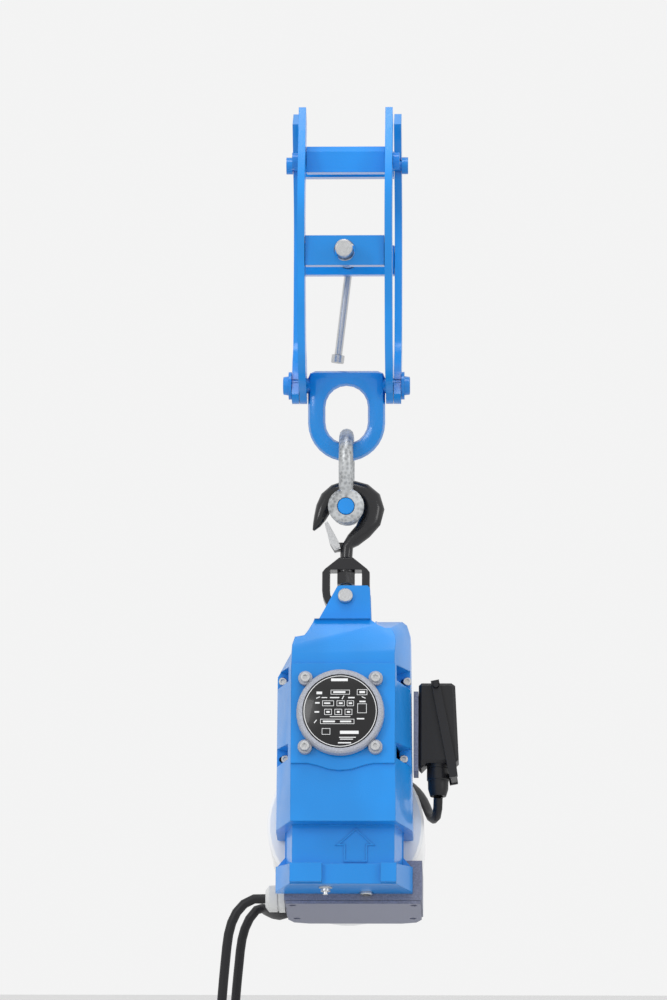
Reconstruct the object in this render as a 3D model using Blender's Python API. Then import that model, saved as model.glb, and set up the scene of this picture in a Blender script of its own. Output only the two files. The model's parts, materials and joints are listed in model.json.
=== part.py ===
"""Compact electric through-rope hoist, hanging by its swivel hook from a shackle and a scissor beam clamp.

Metres, +Z up. The origin is the middle of the beam flange's top face, between the two jaw bars. -Y is the front.
The clamp hangs plumb. Hook, swivel eye and hoist hang tipped about the hook's saddle, because the motor behind the
casing pulls the hoist's centre of mass back: everything from the hook down is built upright under the empty
"tipped_frame", whose origin is the saddle.
"""
import math

import bmesh
import bpy
from mathutils import Matrix, Vector

for old in list(bpy.data.objects):
    bpy.data.objects.remove(old, do_unlink=True)

# ---------------------------------------------------------------- driving dimensions: clamp
GAP = 0.0003                # clearance left between faces that touch
RUN = 0.0005                # radial clearance of a turning fit

PLATE = 0.008               # thickness of every clamp arm
INNER_HALF = 0.0435         # half the clear width between the two front arms
ARM_HALF = 0.020            # half the arm's width in side view
FLANGE_HALF = 0.032         # half the beam flange's width at rest
PIVOT_Z = -0.2318           # lower pivot, where the arms and the lug meet
BLOCK_Z = -0.0886           # trunnion blocks' axis
BLOCK_Y = 0.066             # distance of each trunnion block from the clamp's middle
JAW_PIN_Y = 0.027           # distance of each jaw bar's bolt from the middle
JAW_PIN_Z = 0.0138          # height of the jaw bolts above the flange
JAW_HEIGHT = 0.029          # jaw bar section height
JAW_DEPTH = 0.026           # jaw bar section depth
ARM_TOP_Z = 0.077           # top of the arms
ARM_TOP_Y = 0.018           # arms lean in to this distance from the middle
PIVOT_R = 0.0085            # lug trunnion radius
JAW_BOLT_R = 0.006          # jaw bolt radius
BLOCK_TRUNNION_R = 0.009    # stub radius of a trunnion block
BLOCK_HEIGHT = 0.0325
BLOCK_DEPTH = 0.026
SPINDLE_R = 0.0095          # threaded spindle radius
SPINDLE_FRONT = 0.046       # spindle past the front block
SPINDLE_REAR = 0.046        # spindle past the rear block, to the hub's middle
HUB_R = 0.0115
HUB_LENGTH = 0.026
TOMMY_R = 0.0043            # tommy bar radius
TOMMY_LENGTH = 0.112        # tommy bar below the hub's middle
TOMMY_ABOVE = 0.020         # tommy bar above the hub's middle
TOMMY_LEAN = math.radians(7.0)

# ---------------------------------------------------------------- driving dimensions: lug, shackle, hook
LUG_HALF = 0.0424           # half the lug's width at its top bar
LUG_TOP = 0.0162            # lug's top above the pivot
LUG_RIM = 0.0195            # rim width at the lug's bottom
LUG_THICK = 0.021
LUG_ROUND = 0.0080          # rounding of the lug's edges
LUG_EYE_HALF = 0.0234       # half the width of the lug's hole
LUG_EYE_BOTTOM = 0.0637     # hole's lowest point below the pivot
SHACKLE_R = 0.0080          # shackle wire radius
SHACKLE_BOW_R = 0.0215      # bow's inner radius
SHACKLE_JAW_HALF = 0.0140   # half the clear width between the shackle's ears
SHACKLE_EAR = 0.016         # ear thickness
SHACKLE_EYE_R = 0.0198      # ear's outer radius
SHACKLE_REACH = 0.0700      # bow's inner top to the pin's axis
PIN_R = 0.0092              # shackle pin radius
TIP_ANGLE = math.radians(13.5)      # how far the hook and hoist hang tipped back at the top
HOOK_THICK = 0.0170         # hook section thickness
SHANK_R = 0.0056            # hook shank radius in the swivel eye
EYE_THICK = 0.018           # swivel eye thickness
EYE_HALF = 0.026            # half the swivel eye's width
EYE_ARM = 0.0085            # swivel eye's arm width
EAR_PIN_R = 0.007           # pin through the casing ears
EAR_PIN_Z = -0.117          # ear pin below the saddle

# ---------------------------------------------------------------- driving dimensions: hoist
EAR_GAP = 0.0105            # half the gap between the casing's two ears
EAR_THICK = 0.0115          # thickness of one ear
FLANGE_X = 0.074            # casing's half width at its parting flange
FACE_X = 0.0565             # half width of the front face
FACE_Y = 0.060              # front face ahead of the parting plane
FLANGE_T = 0.013            # parting flange thickness of the front casing
REAR_DEPTH = 0.042          # rear casing depth
WALL = 0.005                # casing wall
CASE_TOP = -0.150           # casing top below the saddle
CASE_LEDGE = -0.3755        # underside of the casing's wide part
NECK_TOP = -0.419           # neck's lower end
CASE_BOTTOM = -0.4410       # casing underside
NECK_Y = 0.041              # neck face ahead of the parting plane
PAD_Y = 0.052               # lower block's pads ahead of the parting plane
COVER_X = -0.0033           # sheave and cover axis
COVER_Z = -0.2580
COVER_R = 0.0485            # round cover's outer radius
PLATE_R = 0.0405            # name plate radius
SCREW_PCD_R = 0.0535        # cover screws' radius from the cover's axis
SCREW_HEAD_R = 0.0052
MOTOR_Z = -0.3580           # motor axis
MOTOR_R = 0.0855
MOTOR_LENGTH = 0.112
FAN_COVER_LENGTH = 0.022
STATOR_LENGTH = 0.070
SHEAVE_R = 0.044            # drive sheave, at its rope groove
SHEAVE_T = 0.014
GEAR_MODULE = 0.002
SHEAVE_TEETH = 50
WHEEL_TEETH = 30
IDLER_TEETH = 12
MOTOR_TEETH = 10
BOX_X0 = -0.065             # terminal box, left and right walls
BOX_X1 = 0.084
BOX_Y0 = 0.0075
BOX_Y1 = 0.118
BOX_TOP = -0.4045
LID_T = 0.0035
BOX_BOTTOM = -0.4520
GLAND_Y = 0.055
GLAND_Z = -0.4370
GLAND_R = 0.0145
CONN_Y0 = 0.002             # side connector, front and back faces
CONN_Y1 = 0.041
CONN_TOP = -0.2070
CONN_BOTTOM = -0.2960
CONN_X1 = 0.1235
CONN_GLAND_X = 0.1010
CONN_GLAND_LENGTH = 0.030
POWER_D = 0.0108            # power cable diameter
CONTROL_D = 0.0104          # control cable diameter
COIL_R = 0.060              # middle radius of each coil's turns
COIL_LAYERS = 3             # turns side by side in a coil, with two on top of each other
PENDANT_HEIGHT = 0.150
PENDANT_WIDTH = 0.056
PENDANT_DEPTH = 0.040
BUTTON_R = 0.0105
STOP_R = 0.0150
BUTTON_TRAVEL = 0.003


# ---------------------------------------------------------------- helpers
def material(name, colour, roughness=0.5, metallic=0.0):
    mat = bpy.data.materials.new(name)
    mat.use_nodes = True
    shader = mat.node_tree.nodes["Principled BSDF"]
    shader.inputs["Base Color"].default_value = (*colour, 1.0)
    shader.inputs["Roughness"].default_value = roughness
    shader.inputs["Metallic"].default_value = metallic
    return mat


BLUE = material("blue_paint", (0.02, 0.27, 0.75), 0.35)
ZINC = material("zinc_steel", (0.62, 0.62, 0.64), 0.35, 1.0)
GALVANISED = material("galvanised_steel", (0.42, 0.44, 0.46), 0.5, 1.0)
BLACK = material("black_paint", (0.012, 0.012, 0.015), 0.3)
CAST = material("cast_aluminium", (0.5, 0.5, 0.52), 0.45, 1.0)
WHITE = material("light_paint", (0.82, 0.83, 0.85), 0.4)
PLASTIC = material("black_plastic", (0.015, 0.015, 0.02), 0.45)
RUBBER = material("black_rubber", (0.01, 0.01, 0.011), 0.6)
GREY = material("grey_plastic", (0.6, 0.64, 0.64), 0.45)
STEEL = material("steel", (0.45, 0.45, 0.46), 0.4, 1.0)
RED = material("red_plastic", (0.6, 0.02, 0.02), 0.4)

tipped = bpy.data.objects.new("tipped_frame", None)
bpy.context.collection.objects.link(tipped)
tipped.location = (0, 0, PIVOT_Z - LUG_EYE_BOTTOM - SHACKLE_REACH + PIN_R + GAP)
tipped.rotation_euler = (-TIP_ANGLE, 0, 0)


def add(name, bm, mat, parent=None, smooth=35.0):
    """A named object from a bmesh, with its normals turned outward and round faces shaded smooth."""
    bmesh.ops.remove_doubles(bm, verts=bm.verts, dist=1e-6)
    bmesh.ops.recalc_face_normals(bm, faces=bm.faces)
    mesh = bpy.data.meshes.new(name)
    bm.to_mesh(mesh)
    bm.free()
    mesh.materials.append(mat)
    mesh.shade_smooth()
    mesh.set_sharp_from_angle(angle=math.radians(smooth))
    obj = bpy.data.objects.new(name, mesh)
    bpy.context.collection.objects.link(obj)
    obj.parent = parent
    return obj


def skin(rings, closed=False):
    """A closed bmesh through rings of points: the first and last ring are capped unless closed."""
    bm = bmesh.new()
    rows = [[bm.verts.new(p) for p in ring] for ring in rings]
    pairs = list(zip(rows, rows[1:])) + ([(rows[-1], rows[0])] if closed else [])
    for low, high in pairs:
        for i in range(len(low)):
            j = (i + 1) % len(low)
            bm.faces.new((low[i], low[j], high[j], high[i]))
    if not closed:
        bm.faces.new(rows[0])
        bm.faces.new(rows[-1])
    return bm


def prism(outline, axis, low, high):
    """An outline of (u, v) points extruded along X, Y or Z from low to high."""
    place = {
        "X": lambda u, v, w: (w, u, v),
        "Y": lambda u, v, w: (u, w, v),
        "Z": lambda u, v, w: (u, v, w),
    }[axis]
    return skin([[place(u, v, w) for u, v in outline] for w in (low, high)])


def box(x0, x1, y0, y1, z0, z1):
    return prism([(x0, y0), (x1, y0), (x1, y1), (x0, y1)], "Z", z0, z1)


def arc(cx, cy, radius, start, end, steps):
    """Points on an arc, angles in degrees."""
    angles = [math.radians(start + (end - start) * i / steps) for i in range(steps + 1)]
    return [(cx + radius * math.cos(a), cy + radius * math.sin(a)) for a in angles]


def ring_points(axis, centre, along, radius, steps):
    """A circle of points round an axis X, Y or Z through centre, at a place along it."""
    points = []
    for i in range(steps):
        a = 2 * math.pi * (i + 0.5) / steps
        u, v = radius * math.cos(a), radius * math.sin(a)
        cx, cy, cz = centre
        points.append({
            "X": (cx + along, cy + u, cz + v),
            "Y": (cx + u, cy + along, cz + v),
            "Z": (cx + u, cy + v, cz + along),
        }[axis])
    return points


def turned(profile, axis, centre, steps=24, closed=False):
    """A turned solid from (place along the axis, radius) pairs; closed profiles make rings."""
    return skin([ring_points(axis, centre, h, r, steps) for h, r in profile], closed)


def cylinder(axis, centre, low, high, radius, steps=24):
    return turned([(low, radius), (high, radius)], axis, centre, steps)


def moved(bm, matrix):
    bmesh.ops.transform(bm, matrix=matrix, verts=bm.verts)
    return bm


def change(obj, other, operation):
    """Cuts or joins obj with a bmesh, applied at once."""
    tool = add(obj.name + "_tool", other, obj.data.materials[0], obj.parent)
    modifier = obj.modifiers.new("cut", "BOOLEAN")
    modifier.operation = operation
    modifier.solver = "EXACT"
    modifier.object = tool
    bpy.context.view_layer.update()
    done = obj.evaluated_get(bpy.context.evaluated_depsgraph_get())
    mesh = bpy.data.meshes.new_from_object(done)
    obj.modifiers.clear()
    obj.data = mesh
    mesh.shade_smooth()
    mesh.set_sharp_from_angle(angle=math.radians(35))
    bpy.data.objects.remove(tool, do_unlink=True)


def cut(obj, *shapes):
    for shape in shapes:
        change(obj, shape, "DIFFERENCE")


def join(obj, *shapes):
    for shape in shapes:
        change(obj, shape, "UNION")


def bevel(obj, width, angle=50.0, segments=1):
    modifier = obj.modifiers.new("edge", "BEVEL")
    modifier.width = width
    modifier.segments = segments
    modifier.limit_method = "ANGLE"
    modifier.angle_limit = math.radians(angle)


def catmull(points, step):
    """A smooth curve through hand-set points, read every step metres."""
    points = [Vector(p) for p in points]
    ends = [2 * points[0] - points[1]] + points + [2 * points[-1] - points[-2]]
    fine = []
    for a, b, c, d in zip(ends, ends[1:], ends[2:], ends[3:]):
        for k in range(40):
            t = k / 40
            fine.append(0.5 * (2 * b + (c - a) * t + (2 * a - 5 * b + 4 * c - d) * t * t
                               + (3 * b - a - 3 * c + d) * t ** 3))
    fine.append(points[-1])
    out, run = [fine[0]], 0.0
    for a, b in zip(fine, fine[1:]):
        run += (b - a).length
        if run >= step:
            out.append(b)
            run = 0.0
    if (out[-1] - fine[-1]).length < 0.4 * step:
        out.pop()
    return out + [fine[-1]]


def tube(name, points, radius, mat, resolution=2):
    curve = bpy.data.curves.new(name, "CURVE")
    curve.dimensions = "3D"
    curve.bevel_depth = radius
    curve.bevel_resolution = resolution
    curve.use_fill_caps = True
    spline = curve.splines.new("POLY")
    spline.points.add(len(points) - 1)
    for target, p in zip(spline.points, points):
        target.co = (*p, 1.0)
    curve.materials.append(mat)
    obj = bpy.data.objects.new(name, curve)
    bpy.context.collection.objects.link(obj)
    return obj


def swept(centres, radii, steps=12, closed=False):
    """A round bar of changing radius along centres that lie in the YZ plane."""
    rings = []
    for i, c in enumerate(centres):
        before = centres[max(i - 1, 0)]
        after = centres[min(i + 1, len(centres) - 1)]
        way = (Vector(after) - Vector(before)).normalized()
        side = Vector((1, 0, 0))
        up = way.cross(side)
        ring = []
        for k in range(steps):
            a = 2 * math.pi * k / steps
            ring.append(Vector(c) + radii[i] * (math.cos(a) * side + math.sin(a) * up))
        rings.append(ring)
    return skin(rings, closed)


# ---------------------------------------------------------------- clamp
def arm_outline(hand):
    """Side outline (y, z) of a clamp arm: a bow from the pivot out round the flange and in over it."""
    middle = [
        (0.0, PIVOT_Z), (BLOCK_Y * 0.72, PIVOT_Z * 0.73 + BLOCK_Z * 0.27), (BLOCK_Y, BLOCK_Z),
        (BLOCK_Y * 0.98, BLOCK_Z * 0.35), (JAW_PIN_Y + 0.014, JAW_PIN_Z + 0.010),
        (ARM_TOP_Y + 0.003, ARM_TOP_Z - 0.012),
    ]
    curve = [Vector((p.x, p.y)) for p in catmull([(y, z, 0) for y, z in middle], 0.022)]
    inner, outer = [], []
    for i, c in enumerate(curve):
        way = (curve[min(i + 1, len(curve) - 1)] - curve[max(i - 1, 0)]).normalized()
        side = Vector((way.y, -way.x))
        half = ARM_HALF - 0.004 * i / len(curve)
        outer.append(c + side * half)
        inner.append(c - side * half)
    foot = [Vector(p) for p in arc(0, PIVOT_Z, ARM_HALF, 210, 330, 6)]
    outline = foot + outer[1:] + inner[1:][::-1]
    return [(hand * p.x, p.y) for p in outline]


def clamp_arm(name, hand, side, x0):
    """hand -1 is the front pair, +1 the rear pair; side -1 is left, +1 right."""
    low, high = sorted((side * x0, side * (x0 + PLATE)))
    arm = add(name, prism(arm_outline(hand), "X", low, high), BLUE)
    reach = (low - 0.01, high + 0.01)
    cut(arm,
        cylinder("X", (0, 0, PIVOT_Z), *reach, PIVOT_R + RUN, 20),
        cylinder("X", (0, hand * BLOCK_Y, BLOCK_Z), *reach, BLOCK_TRUNNION_R + RUN, 20),
        cylinder("X", (0, hand * JAW_PIN_Y, JAW_PIN_Z), *reach, JAW_BOLT_R + RUN, 16))
    return arm


OUTER_HALF = INNER_HALF + PLATE + RUN       # rear arms stand just outside the front arms
for side, word in ((-1, "left"), (1, "right")):
    clamp_arm("front_arm_" + word, -1, side, INNER_HALF)
    clamp_arm("rear_arm_" + word, 1, side, OUTER_HALF)


def jaw(word, hand, inner):
    """Jaw bar that rests on the beam flange, turning on its own bolt."""
    y = hand * JAW_PIN_Y
    half = inner - RUN
    y0, y1 = y - JAW_DEPTH / 2, y + JAW_DEPTH / 2
    chamfer = 0.006
    outline = [(y0, 0.0002), (y1, 0.0002), (y1, JAW_HEIGHT - chamfer), (y1 - chamfer, JAW_HEIGHT),
               (y0 + chamfer, JAW_HEIGHT), (y0, JAW_HEIGHT - chamfer)]
    bar = add(word + "_jaw_bar", prism(outline, "X", -half, half), BLUE)
    cut(bar, cylinder("X", (0, y, JAW_PIN_Z), -half - 0.01, half + 0.01, JAW_BOLT_R + RUN, 16))
    end = inner + PLATE + GAP
    head = 0.0095
    profile = [(-end - 0.007, head), (-end, head), (-end, JAW_BOLT_R), (end, JAW_BOLT_R), (end, head),
               (end + 0.007, head)]
    add(word + "_jaw_bolt", turned(profile, "X", (0, y, JAW_PIN_Z), 12), BLUE)


jaw("front", -1, INNER_HALF)
jaw("rear", 1, OUTER_HALF)


def trunnion_block(word, hand, inner):
    """Cross block with a stub at each end that turns in the arms; the spindle goes through it."""
    y = hand * BLOCK_Y
    half = inner - RUN
    outline = [(y - BLOCK_DEPTH / 2, BLOCK_Z - BLOCK_HEIGHT / 2), (y + BLOCK_DEPTH / 2, BLOCK_Z - BLOCK_HEIGHT / 2),
               (y + BLOCK_DEPTH / 2, BLOCK_Z + BLOCK_HEIGHT / 2), (y - BLOCK_DEPTH / 2, BLOCK_Z + BLOCK_HEIGHT / 2)]
    block = add(word + "_trunnion_block", prism(outline, "X", -half, half), BLUE)
    stub = inner + PLATE
    join(block, cylinder("X", (0, y, BLOCK_Z), -stub, stub, BLOCK_TRUNNION_R, 20))
    play = 0.0022 if hand < 0 else RUN
    cut(block, cylinder("Y", (0, y, BLOCK_Z), -0.05, 0.05, SPINDLE_R + play, 20))


trunnion_block("front", -1, INNER_HALF)
trunnion_block("rear", 1, OUTER_HALF)

hub_y = BLOCK_Y + SPINDLE_REAR
collar_y = BLOCK_Y + BLOCK_DEPTH / 2 + RUN
spindle = add("spindle", turned(
    [(-BLOCK_Y - SPINDLE_FRONT, SPINDLE_R - 0.0015), (-BLOCK_Y - SPINDLE_FRONT + 0.0015, SPINDLE_R),
     (collar_y, SPINDLE_R), (collar_y, HUB_R + 0.002), (collar_y + 0.004, HUB_R + 0.002),
     (collar_y + 0.006, HUB_R), (hub_y + HUB_LENGTH / 2, HUB_R)], "Y", (0, 0, BLOCK_Z), 20), ZINC)
lean = Matrix.Translation((0, hub_y, BLOCK_Z)) @ Matrix.Rotation(TOMMY_LEAN, 4, "Y")
cut(spindle, moved(cylinder("Z", (0, 0, 0), -0.03, 0.03, TOMMY_R + RUN, 16), lean))
HEAD = 0.0073               # tommy bar end radius
add("tommy_bar", moved(turned(
    [(-TOMMY_LENGTH, HEAD - 0.001), (-TOMMY_LENGTH + 0.001, HEAD), (-TOMMY_LENGTH + 0.009, HEAD),
     (-TOMMY_LENGTH + 0.010, TOMMY_R), (HUB_R + GAP, TOMMY_R), (HUB_R + GAP, HEAD),
     (TOMMY_ABOVE, HEAD), (TOMMY_ABOVE + 0.001, HEAD - 0.001)], "Z", (0, 0, 0), 16), lean), ZINC)


# ---------------------------------------------------------------- lug
def lug():
    """Forged D-shaped ring with a stub at each side, hanging in all four arms."""
    top = PIVOT_Z + LUG_TOP
    bottom = PIVOT_Z - LUG_EYE_BOTTOM - LUG_RIM
    outline = [(LUG_HALF, top), (-LUG_HALF, top)]
    outline += arc(0, bottom + LUG_HALF, LUG_HALF, 180, 360, 16)
    body = add("lug", prism(outline, "Y", -LUG_THICK / 2, LUG_THICK / 2), BLUE)
    hole = arc(0, PIVOT_Z - LUG_EYE_HALF, LUG_EYE_HALF, 0, 180, 10)
    hole += arc(0, PIVOT_Z - LUG_EYE_BOTTOM + LUG_EYE_HALF, LUG_EYE_HALF, 180, 360, 10)
    cut(body, prism(hole, "Y", -0.05, 0.05))
    bevel(body, LUG_ROUND, 40, 2)
    bpy.context.view_layer.update()
    done = body.evaluated_get(bpy.context.evaluated_depsgraph_get())
    mesh = bpy.data.meshes.new_from_object(done)
    body.modifiers.clear()
    body.data = mesh
    end = OUTER_HALF + PLATE + GAP
    for side in (-1, 1):
        low, high = sorted((side * (LUG_HALF - 0.012), side * (end + 0.0095)))
        join(body, cylinder("X", (0, 0, PIVOT_Z), low, high, PIVOT_R, 20))
    for side, word in ((-1, "left"), (1, "right")):
        profile = [(0.0, PIVOT_R + RUN), (0.0, 0.0155), (0.0034, 0.0155), (0.0034, 0.0108),
                   (0.0092, 0.0100), (0.0092, PIVOT_R + RUN)]
        nut = turned([(side * (end + h), r) for h, r in profile], "X", (0, 0, PIVOT_Z), 12, closed=True)
        add("lug_nut_" + word, nut, BLUE)


lug()


# ---------------------------------------------------------------- shackle
SADDLE_Z = tipped.location.z                # where the hook rests on the pin
PIN_Z = SADDLE_Z - PIN_R - GAP / 2
COLLAR_OFF = 0.0016         # pin collar off the ear, which swells towards the bow


def shackle():
    bow_z = PIN_Z + SHACKLE_REACH - SHACKLE_BOW_R + 2 * GAP
    ear_y = SHACKLE_JAW_HALF + SHACKLE_EAR / 2
    bow = SHACKLE_BOW_R + SHACKLE_R
    side = [(0, ear_y, PIN_Z + 0.004), (0, ear_y + 0.001, PIN_Z + 0.018), (0, bow - 0.001, PIN_Z + 0.034)]
    top = [(0, y, z) for y, z in arc(0, bow_z, bow, 0, 180, 12)]
    centres = side + top + [(0, -y, z) for _, y, z in side[::-1]]
    radii = [SHACKLE_R] * len(centres)
    body = add("shackle_bow", swept(centres, radii, 12), GALVANISED)
    for sign in (-1, 1):
        low, high = sorted((sign * SHACKLE_JAW_HALF, sign * (SHACKLE_JAW_HALF + SHACKLE_EAR)))
        join(body, turned([(low, SHACKLE_EYE_R - 0.002), (low + 0.002, SHACKLE_EYE_R),
                           (high - 0.002, SHACKLE_EYE_R), (high, SHACKLE_EYE_R - 0.002)],
                          "Y", (0, 0, PIN_Z), 24))
    cut(body, cylinder("Y", (0, 0, PIN_Z), -0.05, 0.05, PIN_R + RUN, 20))
    front = -(SHACKLE_JAW_HALF + SHACKLE_EAR)
    back = -front
    pin = add("shackle_pin", turned(
        [(front - 0.0006, PIN_R - 0.001), (front + 0.0004, PIN_R), (back + COLLAR_OFF, PIN_R), (back + COLLAR_OFF, 0.014),
         (back + 0.006, 0.014), (back + 0.007, 0.010), (back + 0.020, 0.010)], "Y", (0, 0, PIN_Z), 20), BLUE)
    cut(pin, cylinder("X", (0, back + 0.0135, PIN_Z), -0.03, 0.03, 0.003, 10))


shackle()


# ---------------------------------------------------------------- hook, latch and swivel eye (tipped frame)
HOOK = [                    # centreline (x, z) and half width in the hook's plane
    (0.0, -0.0990, SHANK_R), (0.0, -0.0690, SHANK_R), (0.0, -0.0684, 0.0068), (0.0005, -0.0560, 0.0070),
    (0.0075, -0.0475, 0.0085), (0.0180, -0.0375, 0.0100), (0.0262, -0.0255, 0.0120), (0.0290, -0.0125, 0.0127),
    (0.0262, -0.0010, 0.0120), (0.0180, 0.0070, 0.0108), (0.0080, 0.0105, 0.0098), (-0.0020, 0.0105, 0.0097),
    (-0.0120, 0.0070, 0.0098), (-0.0200, -0.0005, 0.0100), (-0.0252, -0.0110, 0.0090), (-0.0292, -0.0220, 0.0070),
    (-0.0328, -0.0300, 0.0045), (-0.0362, -0.0362, 0.0012),
]


def hook():
    """Round-section hook, upside down: its bowl sits over the shackle pin and its shank points down."""
    rings = []
    for i, (x, z, half) in enumerate(HOOK):
        before, after = HOOK[max(i - 1, 0)], HOOK[min(i + 1, len(HOOK) - 1)]
        way = Vector((after[0] - before[0], 0, after[1] - before[1])).normalized()
        if i < 4:
            way = Vector((0, 0, 1))
        side = Vector((-way.z, 0, way.x))
        thick = half if i < 4 else min(HOOK_THICK / 2, half * 1.15)
        ring = []
        for k in range(14):
            a = 2 * math.pi * k / 14
            ring.append(Vector((x, 0, z)) + half * math.cos(a) * side + thick * math.sin(a) * Vector((0, 1, 0)))
        rings.append(ring)
    body = add("hook", skin(rings), BLACK, tipped)
    join(body, box(-0.0135, -0.0020, -0.0035, 0.0035, -0.0600, -0.0510))
    cut(body, cylinder("Y", (LATCH_X, 0, LATCH_Z), -0.02, 0.02, LATCH_PIN_R + GAP, 12))
    return body


LATCH_X, LATCH_Z = -0.0098, -0.0555         # latch pin
LATCH_PIN_R = 0.0018
LATCH_SHORT = 0.0062        # latch ends this far before the tip
LATCH_TIP = (-0.0262, -0.0235)              # where the latch meets the hook's tip
hook()


def latch():
    """Bent sheet latch: two cheeks either side of the hook's lug, joined by a web."""
    run = Vector((LATCH_TIP[0] - LATCH_X, LATCH_TIP[1] - LATCH_Z))
    way = run.normalized()
    side = Vector((-way.y, way.x))
    origin = Vector((LATCH_X, LATCH_Z))
    length = run.length
    back = [origin + side * 0.0050 - way * 0.0030, origin - side * 0.0018 - way * 0.0045,
            origin - side * 0.0036 + way * 0.0040, origin - side * 0.0030 + way * (length - LATCH_SHORT),
            origin + side * 0.0005 + way * (length - LATCH_SHORT), origin + side * 0.0056 + way * 0.0060]
    body = add("hook_latch", prism([tuple(p) for p in back], "Y", -0.0062, 0.0062), ZINC, tipped)
    throat = [origin + side * 0.0100 - way * 0.0100, origin - side * 0.0100 - way * 0.0100,
              origin - side * 0.0100 + way * 0.0095, origin + side * 0.0100 + way * 0.0095]
    cut(body, prism([tuple(p) for p in throat], "Y", -0.0042, 0.0042),
        cylinder("Y", (LATCH_X, 0, LATCH_Z), -0.02, 0.02, LATCH_PIN_R + GAP, 12))
    add("latch_pin", turned([(-0.0074, 0.0030), (-0.0065, 0.0032), (-0.0065, LATCH_PIN_R), (0.0065, LATCH_PIN_R),
                             (0.0065, 0.0032), (0.0074, 0.0030)], "Y", (LATCH_X, 0, LATCH_Z), 12), ZINC, tipped)


latch()

EYE_TOP = -0.0690 - GAP     # top of the swivel eye's neck
EYE_WINDOW = -0.0830        # top of its window
eye_low = EAR_PIN_Z - EAR_PIN_R - GAP + EYE_HALF - EYE_ARM       # centre of its bottom bend


def swivel_eye():
    inner = EYE_HALF - EYE_ARM
    outline = [(0.0075, EYE_TOP), (-0.0075, EYE_TOP), (-EYE_HALF + 0.003, EYE_WINDOW + 0.001), (-EYE_HALF, EYE_WINDOW - 0.003)]
    outline += arc(0, eye_low, EYE_HALF, 180, 360, 12)
    outline += [(EYE_HALF, EYE_WINDOW - 0.003), (EYE_HALF - 0.003, EYE_WINDOW + 0.001)]
    body = add("swivel_eye", prism(outline, "Y", -EYE_THICK / 2, EYE_THICK / 2), BLACK, tipped)
    window = [(inner, EYE_WINDOW), (-inner, EYE_WINDOW)] + arc(0, eye_low, inner, 180, 360, 12)
    cut(body, prism(window, "Y", -0.05, 0.05), cylinder("Z", (0, 0, 0), -0.10, -0.05, SHANK_R + RUN, 16))
    bevel(body, 0.0015, 50)
    add("thrust_washer", turned([(EYE_WINDOW - GAP, SHANK_R + RUN), (EYE_WINDOW - GAP, 0.0100),
                                 (EYE_WINDOW - 0.0022, 0.0100), (EYE_WINDOW - 0.0022, SHANK_R + RUN)],
                                "Z", (0, 0, 0), 16, closed=True), BLACK, tipped)
    low = -0.0985
    bore = (SHANK_R + 2 * GAP) / math.cos(math.pi / 6)      # the hexagon's bore clears the round shank
    add("hook_nut", turned([(EYE_WINDOW - 0.0025, bore), (EYE_WINDOW - 0.0025, 0.0110), (low, 0.0110), (low, bore)],
                           "Z", (0, 0, 0), 6, closed=True), BLACK, tipped)


swivel_eye()
ear_out = EAR_GAP + EAR_THICK
add("ear_pin", turned([(-ear_out - 0.006, 0.0068), (-ear_out - 0.005, 0.0080), (-ear_out - GAP, 0.0080),
                       (-ear_out - GAP, EAR_PIN_R), (ear_out + GAP, EAR_PIN_R), (ear_out + GAP, 0.0080),
                       (ear_out + 0.006, 0.0080)], "Y", (0, 0, EAR_PIN_Z), 20), STEEL, tipped)


# ---------------------------------------------------------------- casing (tipped frame)
def loft(parts):
    """A solid through outlines (x, z) at depths y, all with the same number of points."""
    bm = skin([[(x, y, z) for x, z in outline] for y, outline in parts])
    bm.normal_update()
    bmesh.ops.triangulate(bm, faces=bm.faces)
    return bm


def hollow(x0, x1, y0, y1, z0, z1, shrink=0.0):
    """A tapered cavity, narrower by shrink at its front."""
    outline = [(x0, z0), (x1, z0), (x1, z1), (x0, z1)]
    front = [(x0 + shrink, z0), (x1 - shrink, z0), (x1 - shrink, z1 - shrink), (x0 + shrink, z1 - shrink)]
    return loft([(y0, front), (y1, outline)])


LEDGE = CASE_LEDGE
SHOULDER = CASE_TOP + 0.0065
ROPE_X = COVER_X - SHEAVE_R - 0.0008        # rope line, tangent to the sheave
ROPE_TOP = CASE_TOP - 0.0165                # flat step the upper rope bush stands on


def flange_outline(grow=0.0):
    """Parting flange of the wide part: chamfered at upper left, rounded shoulder at upper right."""
    w = FLANGE_X + grow
    return [(-w, LEDGE), (w, LEDGE), (w - 0.003, SHOULDER - 0.014), (w - 0.006, SHOULDER - 0.004),
            (w - 0.011, SHOULDER), (0.0355, SHOULDER), (0.0340, CASE_TOP - 0.001), (0.0285, CASE_TOP + 0.003),
            (-0.0335, CASE_TOP + 0.003), (-0.0400, CASE_TOP - 0.012), (-0.0425, ROPE_TOP),
            (-0.0560, ROPE_TOP), (-0.0590, ROPE_TOP - 0.012), (-w, CASE_TOP - 0.055)]


def face_outline():
    """The same fourteen corners on the front face."""
    w = FACE_X
    return [(-w, LEDGE), (w, LEDGE), (w - 0.002, CASE_TOP - 0.030), (w - 0.004, CASE_TOP - 0.022),
            (w - 0.010, CASE_TOP - 0.014), (0.0350, CASE_TOP - 0.009), (0.0330, CASE_TOP - 0.004),
            (0.0275, CASE_TOP), (-0.0325, CASE_TOP), (-0.0395, CASE_TOP - 0.013), (-0.0435, ROPE_TOP - 0.002),
            (-0.0530, ROPE_TOP - 0.004), (-0.0560, ROPE_TOP - 0.013), (-w - 0.0005, CASE_TOP - 0.056)]


def ear(y0, y1):
    """Suspension ear: upright right edge, slanted left edge, rounded top."""
    top = EAR_PIN_Z + 0.0125
    return prism([(-0.0350, CASE_TOP - 0.004), (-0.0090, top - 0.001), (-0.0060, top), (0.0240, top),
                  (0.0268, top - 0.003), (0.0285, CASE_TOP - 0.004)], "Y", y0, y1)


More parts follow.
